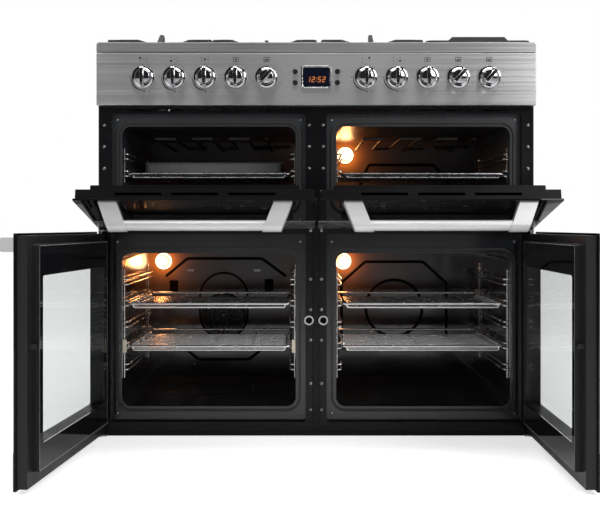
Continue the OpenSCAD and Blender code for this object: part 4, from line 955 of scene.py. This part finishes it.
# screws of the back panel, and the ring round its cable entry
back = {"screwX": (-470, -235, 0, 235, 470), "screwZ": (30, 860), "entry": (430, 640),
        "head": [(0, 1.7), (2.6, 1.6), (3.8, 0.6), (3.8, -0.3)],
        "entryRing": [(11.2, -0.4), (17, -0.4), (17, 1.0), (14.5, 1.9), (11.2, 1.9), (11.2, -0.4)]}
bm, slots = bmesh.new(), bmesh.new()
for x in back["screwX"]:
    for z in back["screwZ"]:
        place = placeFacing(x, cooker["backSheetY"], z, -90)
        addLathe(bm, back["head"], 18, place)
        for a in (0, 90):
            addBox(slots, (-2, -screw["cross"], 1.4), (2, screw["cross"], 1.76), place @ turned(a))
addPiece("backScrews", bm, "screwSteel", "cooker", angle=50)
addPiece("backScrewSlots", slots, "printBlack", "cooker", smooth=False)
bm = bmesh.new()
x, z = back["entry"]
addLathe(bm, back["entryRing"], 40, placeFacing(x, cooker["backSheetY"], z, -90))
addPiece("cableEntryRing", bm, "blackPlastic", "cooker")
print("stage: hob and back details made")

# glows inside the three lit ovens
lampGlow = {"color": (1.0, 0.36, 0.08), "power": 0.26, "radius": 0.014, "y": 135}
for i, (x, z) in enumerate(ovenLamps.values()):
    lampData = bpy.data.lights.new("ovenLight_%d" % i, "POINT")
    lampData.color = lampGlow["color"]
    lampData.energy = lampGlow["power"]
    lampData.shadow_soft_size = lampGlow["radius"]
    lamp = addObject("ovenLight_%d" % i, lampData)
    lamp.location = (x * mm, lampGlow["y"] * mm, z * mm)

# studio
studio = {"key": {"place": (1.9, -2.6, 1.9), "aim": (0.1, -0.3, 0.6), "size": (1.2, 1.2), "power": 46,
                  "mirrored": True},
          "fill": {"place": (-2.2, -2.4, 1.2), "aim": (-0.1, -0.3, 0.5), "size": (1.4, 1.8), "power": 24,
                   "mirrored": False},
          "top": {"place": (0, -0.9, 2.9), "aim": (0, -0.1, 0.9), "size": (2.6, 0.8), "power": 40,
                  "mirrored": True}}
for name, look in studio.items():
    lightData = bpy.data.lights.new(name + "Light", "AREA")
    lightData.shape = "RECTANGLE"
    lightData.size, lightData.size_y = look["size"]
    lightData.energy = look["power"]
    light = addObject(name + "Light", lightData)
    light.visible_glossy = look["mirrored"]
    light.visible_transmission = False
    light.location = look["place"]
    light.rotation_euler = (Vector(look["aim"]) - Vector(look["place"])).to_track_quat("-Z", "Y").to_euler()

world = bpy.data.worlds.new("studioWorld")
scene.world = world
world.use_nodes = True
sky = {"seen": 1.0, "ambient": 0.46, "behind": 0.025, "right": 0.25, "below": 0.5,
       "rampY": (-0.1, 0.3), "rampX": (0.45, 0.9), "rampZ": (-0.45, -0.12)}
skyTree = world.node_tree
axes = addNode(skyTree, "SeparateXYZ", {"Vector": addNode(skyTree, "TexCoord", {}).outputs["Generated"]})


def skyRamp(axis, low, high):
    start, stop = sky["ramp" + axis]
    ramp = addNode(skyTree, "MapRange", {"Value": axes.outputs[axis], "From Min": start, "From Max": stop,
                                         "To Min": low, "To Max": high}, interpolation_type="SMOOTHSTEP")
    return ramp.outputs["Result"]


def larger(tree, first, *others):
    for other in others:
        first = addMath(tree, "MAXIMUM", first, other)
    return first


# what mirrors see of the sky, what the camera sees, and how strongly it lights the rest
mirrored = larger(skyTree, skyRamp("Y", sky["behind"], sky["seen"]),
                  skyRamp("X", sky["behind"], sky["right"]), skyRamp("Z", sky["below"], sky["behind"]))
rays = addNode(skyTree, "LightPath", {}).outputs
seen = addNode(skyTree, "Mix", {"Factor": rays["Is Camera Ray"], "A": mirrored, "B": sky["seen"]},
               data_type="FLOAT")
direct = larger(skyTree, rays["Is Camera Ray"], rays["Is Glossy Ray"], rays["Is Transmission Ray"])
level = addNode(skyTree, "Mix", {"Factor": direct, "A": sky["ambient"], "B": seen.outputs["Result"]},
                data_type="FLOAT")
setInputs(skyTree, skyTree.nodes["Background"], {"Color": (1, 1, 1, 1), "Strength": level.outputs["Result"]})

# pale floor that keeps the shadow: it is lifted where seen, and less where mirrored
paper = {"half": 30, "z": -0.0005, "lift": 0.6, "mirrored": 0.08}
half = paper["half"]
bm = bmesh.new()
bm.faces.new(addPoints(bm, [(x, y, paper["z"]) for x, y in ((-half, -half), (half, -half),
                                                            (half, half), (-half, half))]))
mesh = bpy.data.meshes.new("studioFloor")
bm.to_mesh(mesh)
bm.free()
studioFloor = addObject("studioFloor", mesh)
floorLook, tree, shader = newMaterial("floorPaper")
rays = addNode(tree, "LightPath", {}).outputs
lift = addMath(tree, "MULTIPLY_ADD", larger(tree, rays["Is Camera Ray"], rays["Is Transmission Ray"]),
               paper["lift"], addMath(tree, "MULTIPLY", rays["Is Glossy Ray"], paper["mirrored"]))
setInputs(tree, shader, {"Base Color": (0.9, 0.9, 0.9, 1), "Roughness": 0.9,
                         "Emission Color": (1, 1, 1, 1), "Emission Strength": lift})
mesh.materials.append(floorLook)
scene.view_settings.view_transform = "Standard"
print("stage: studio set")
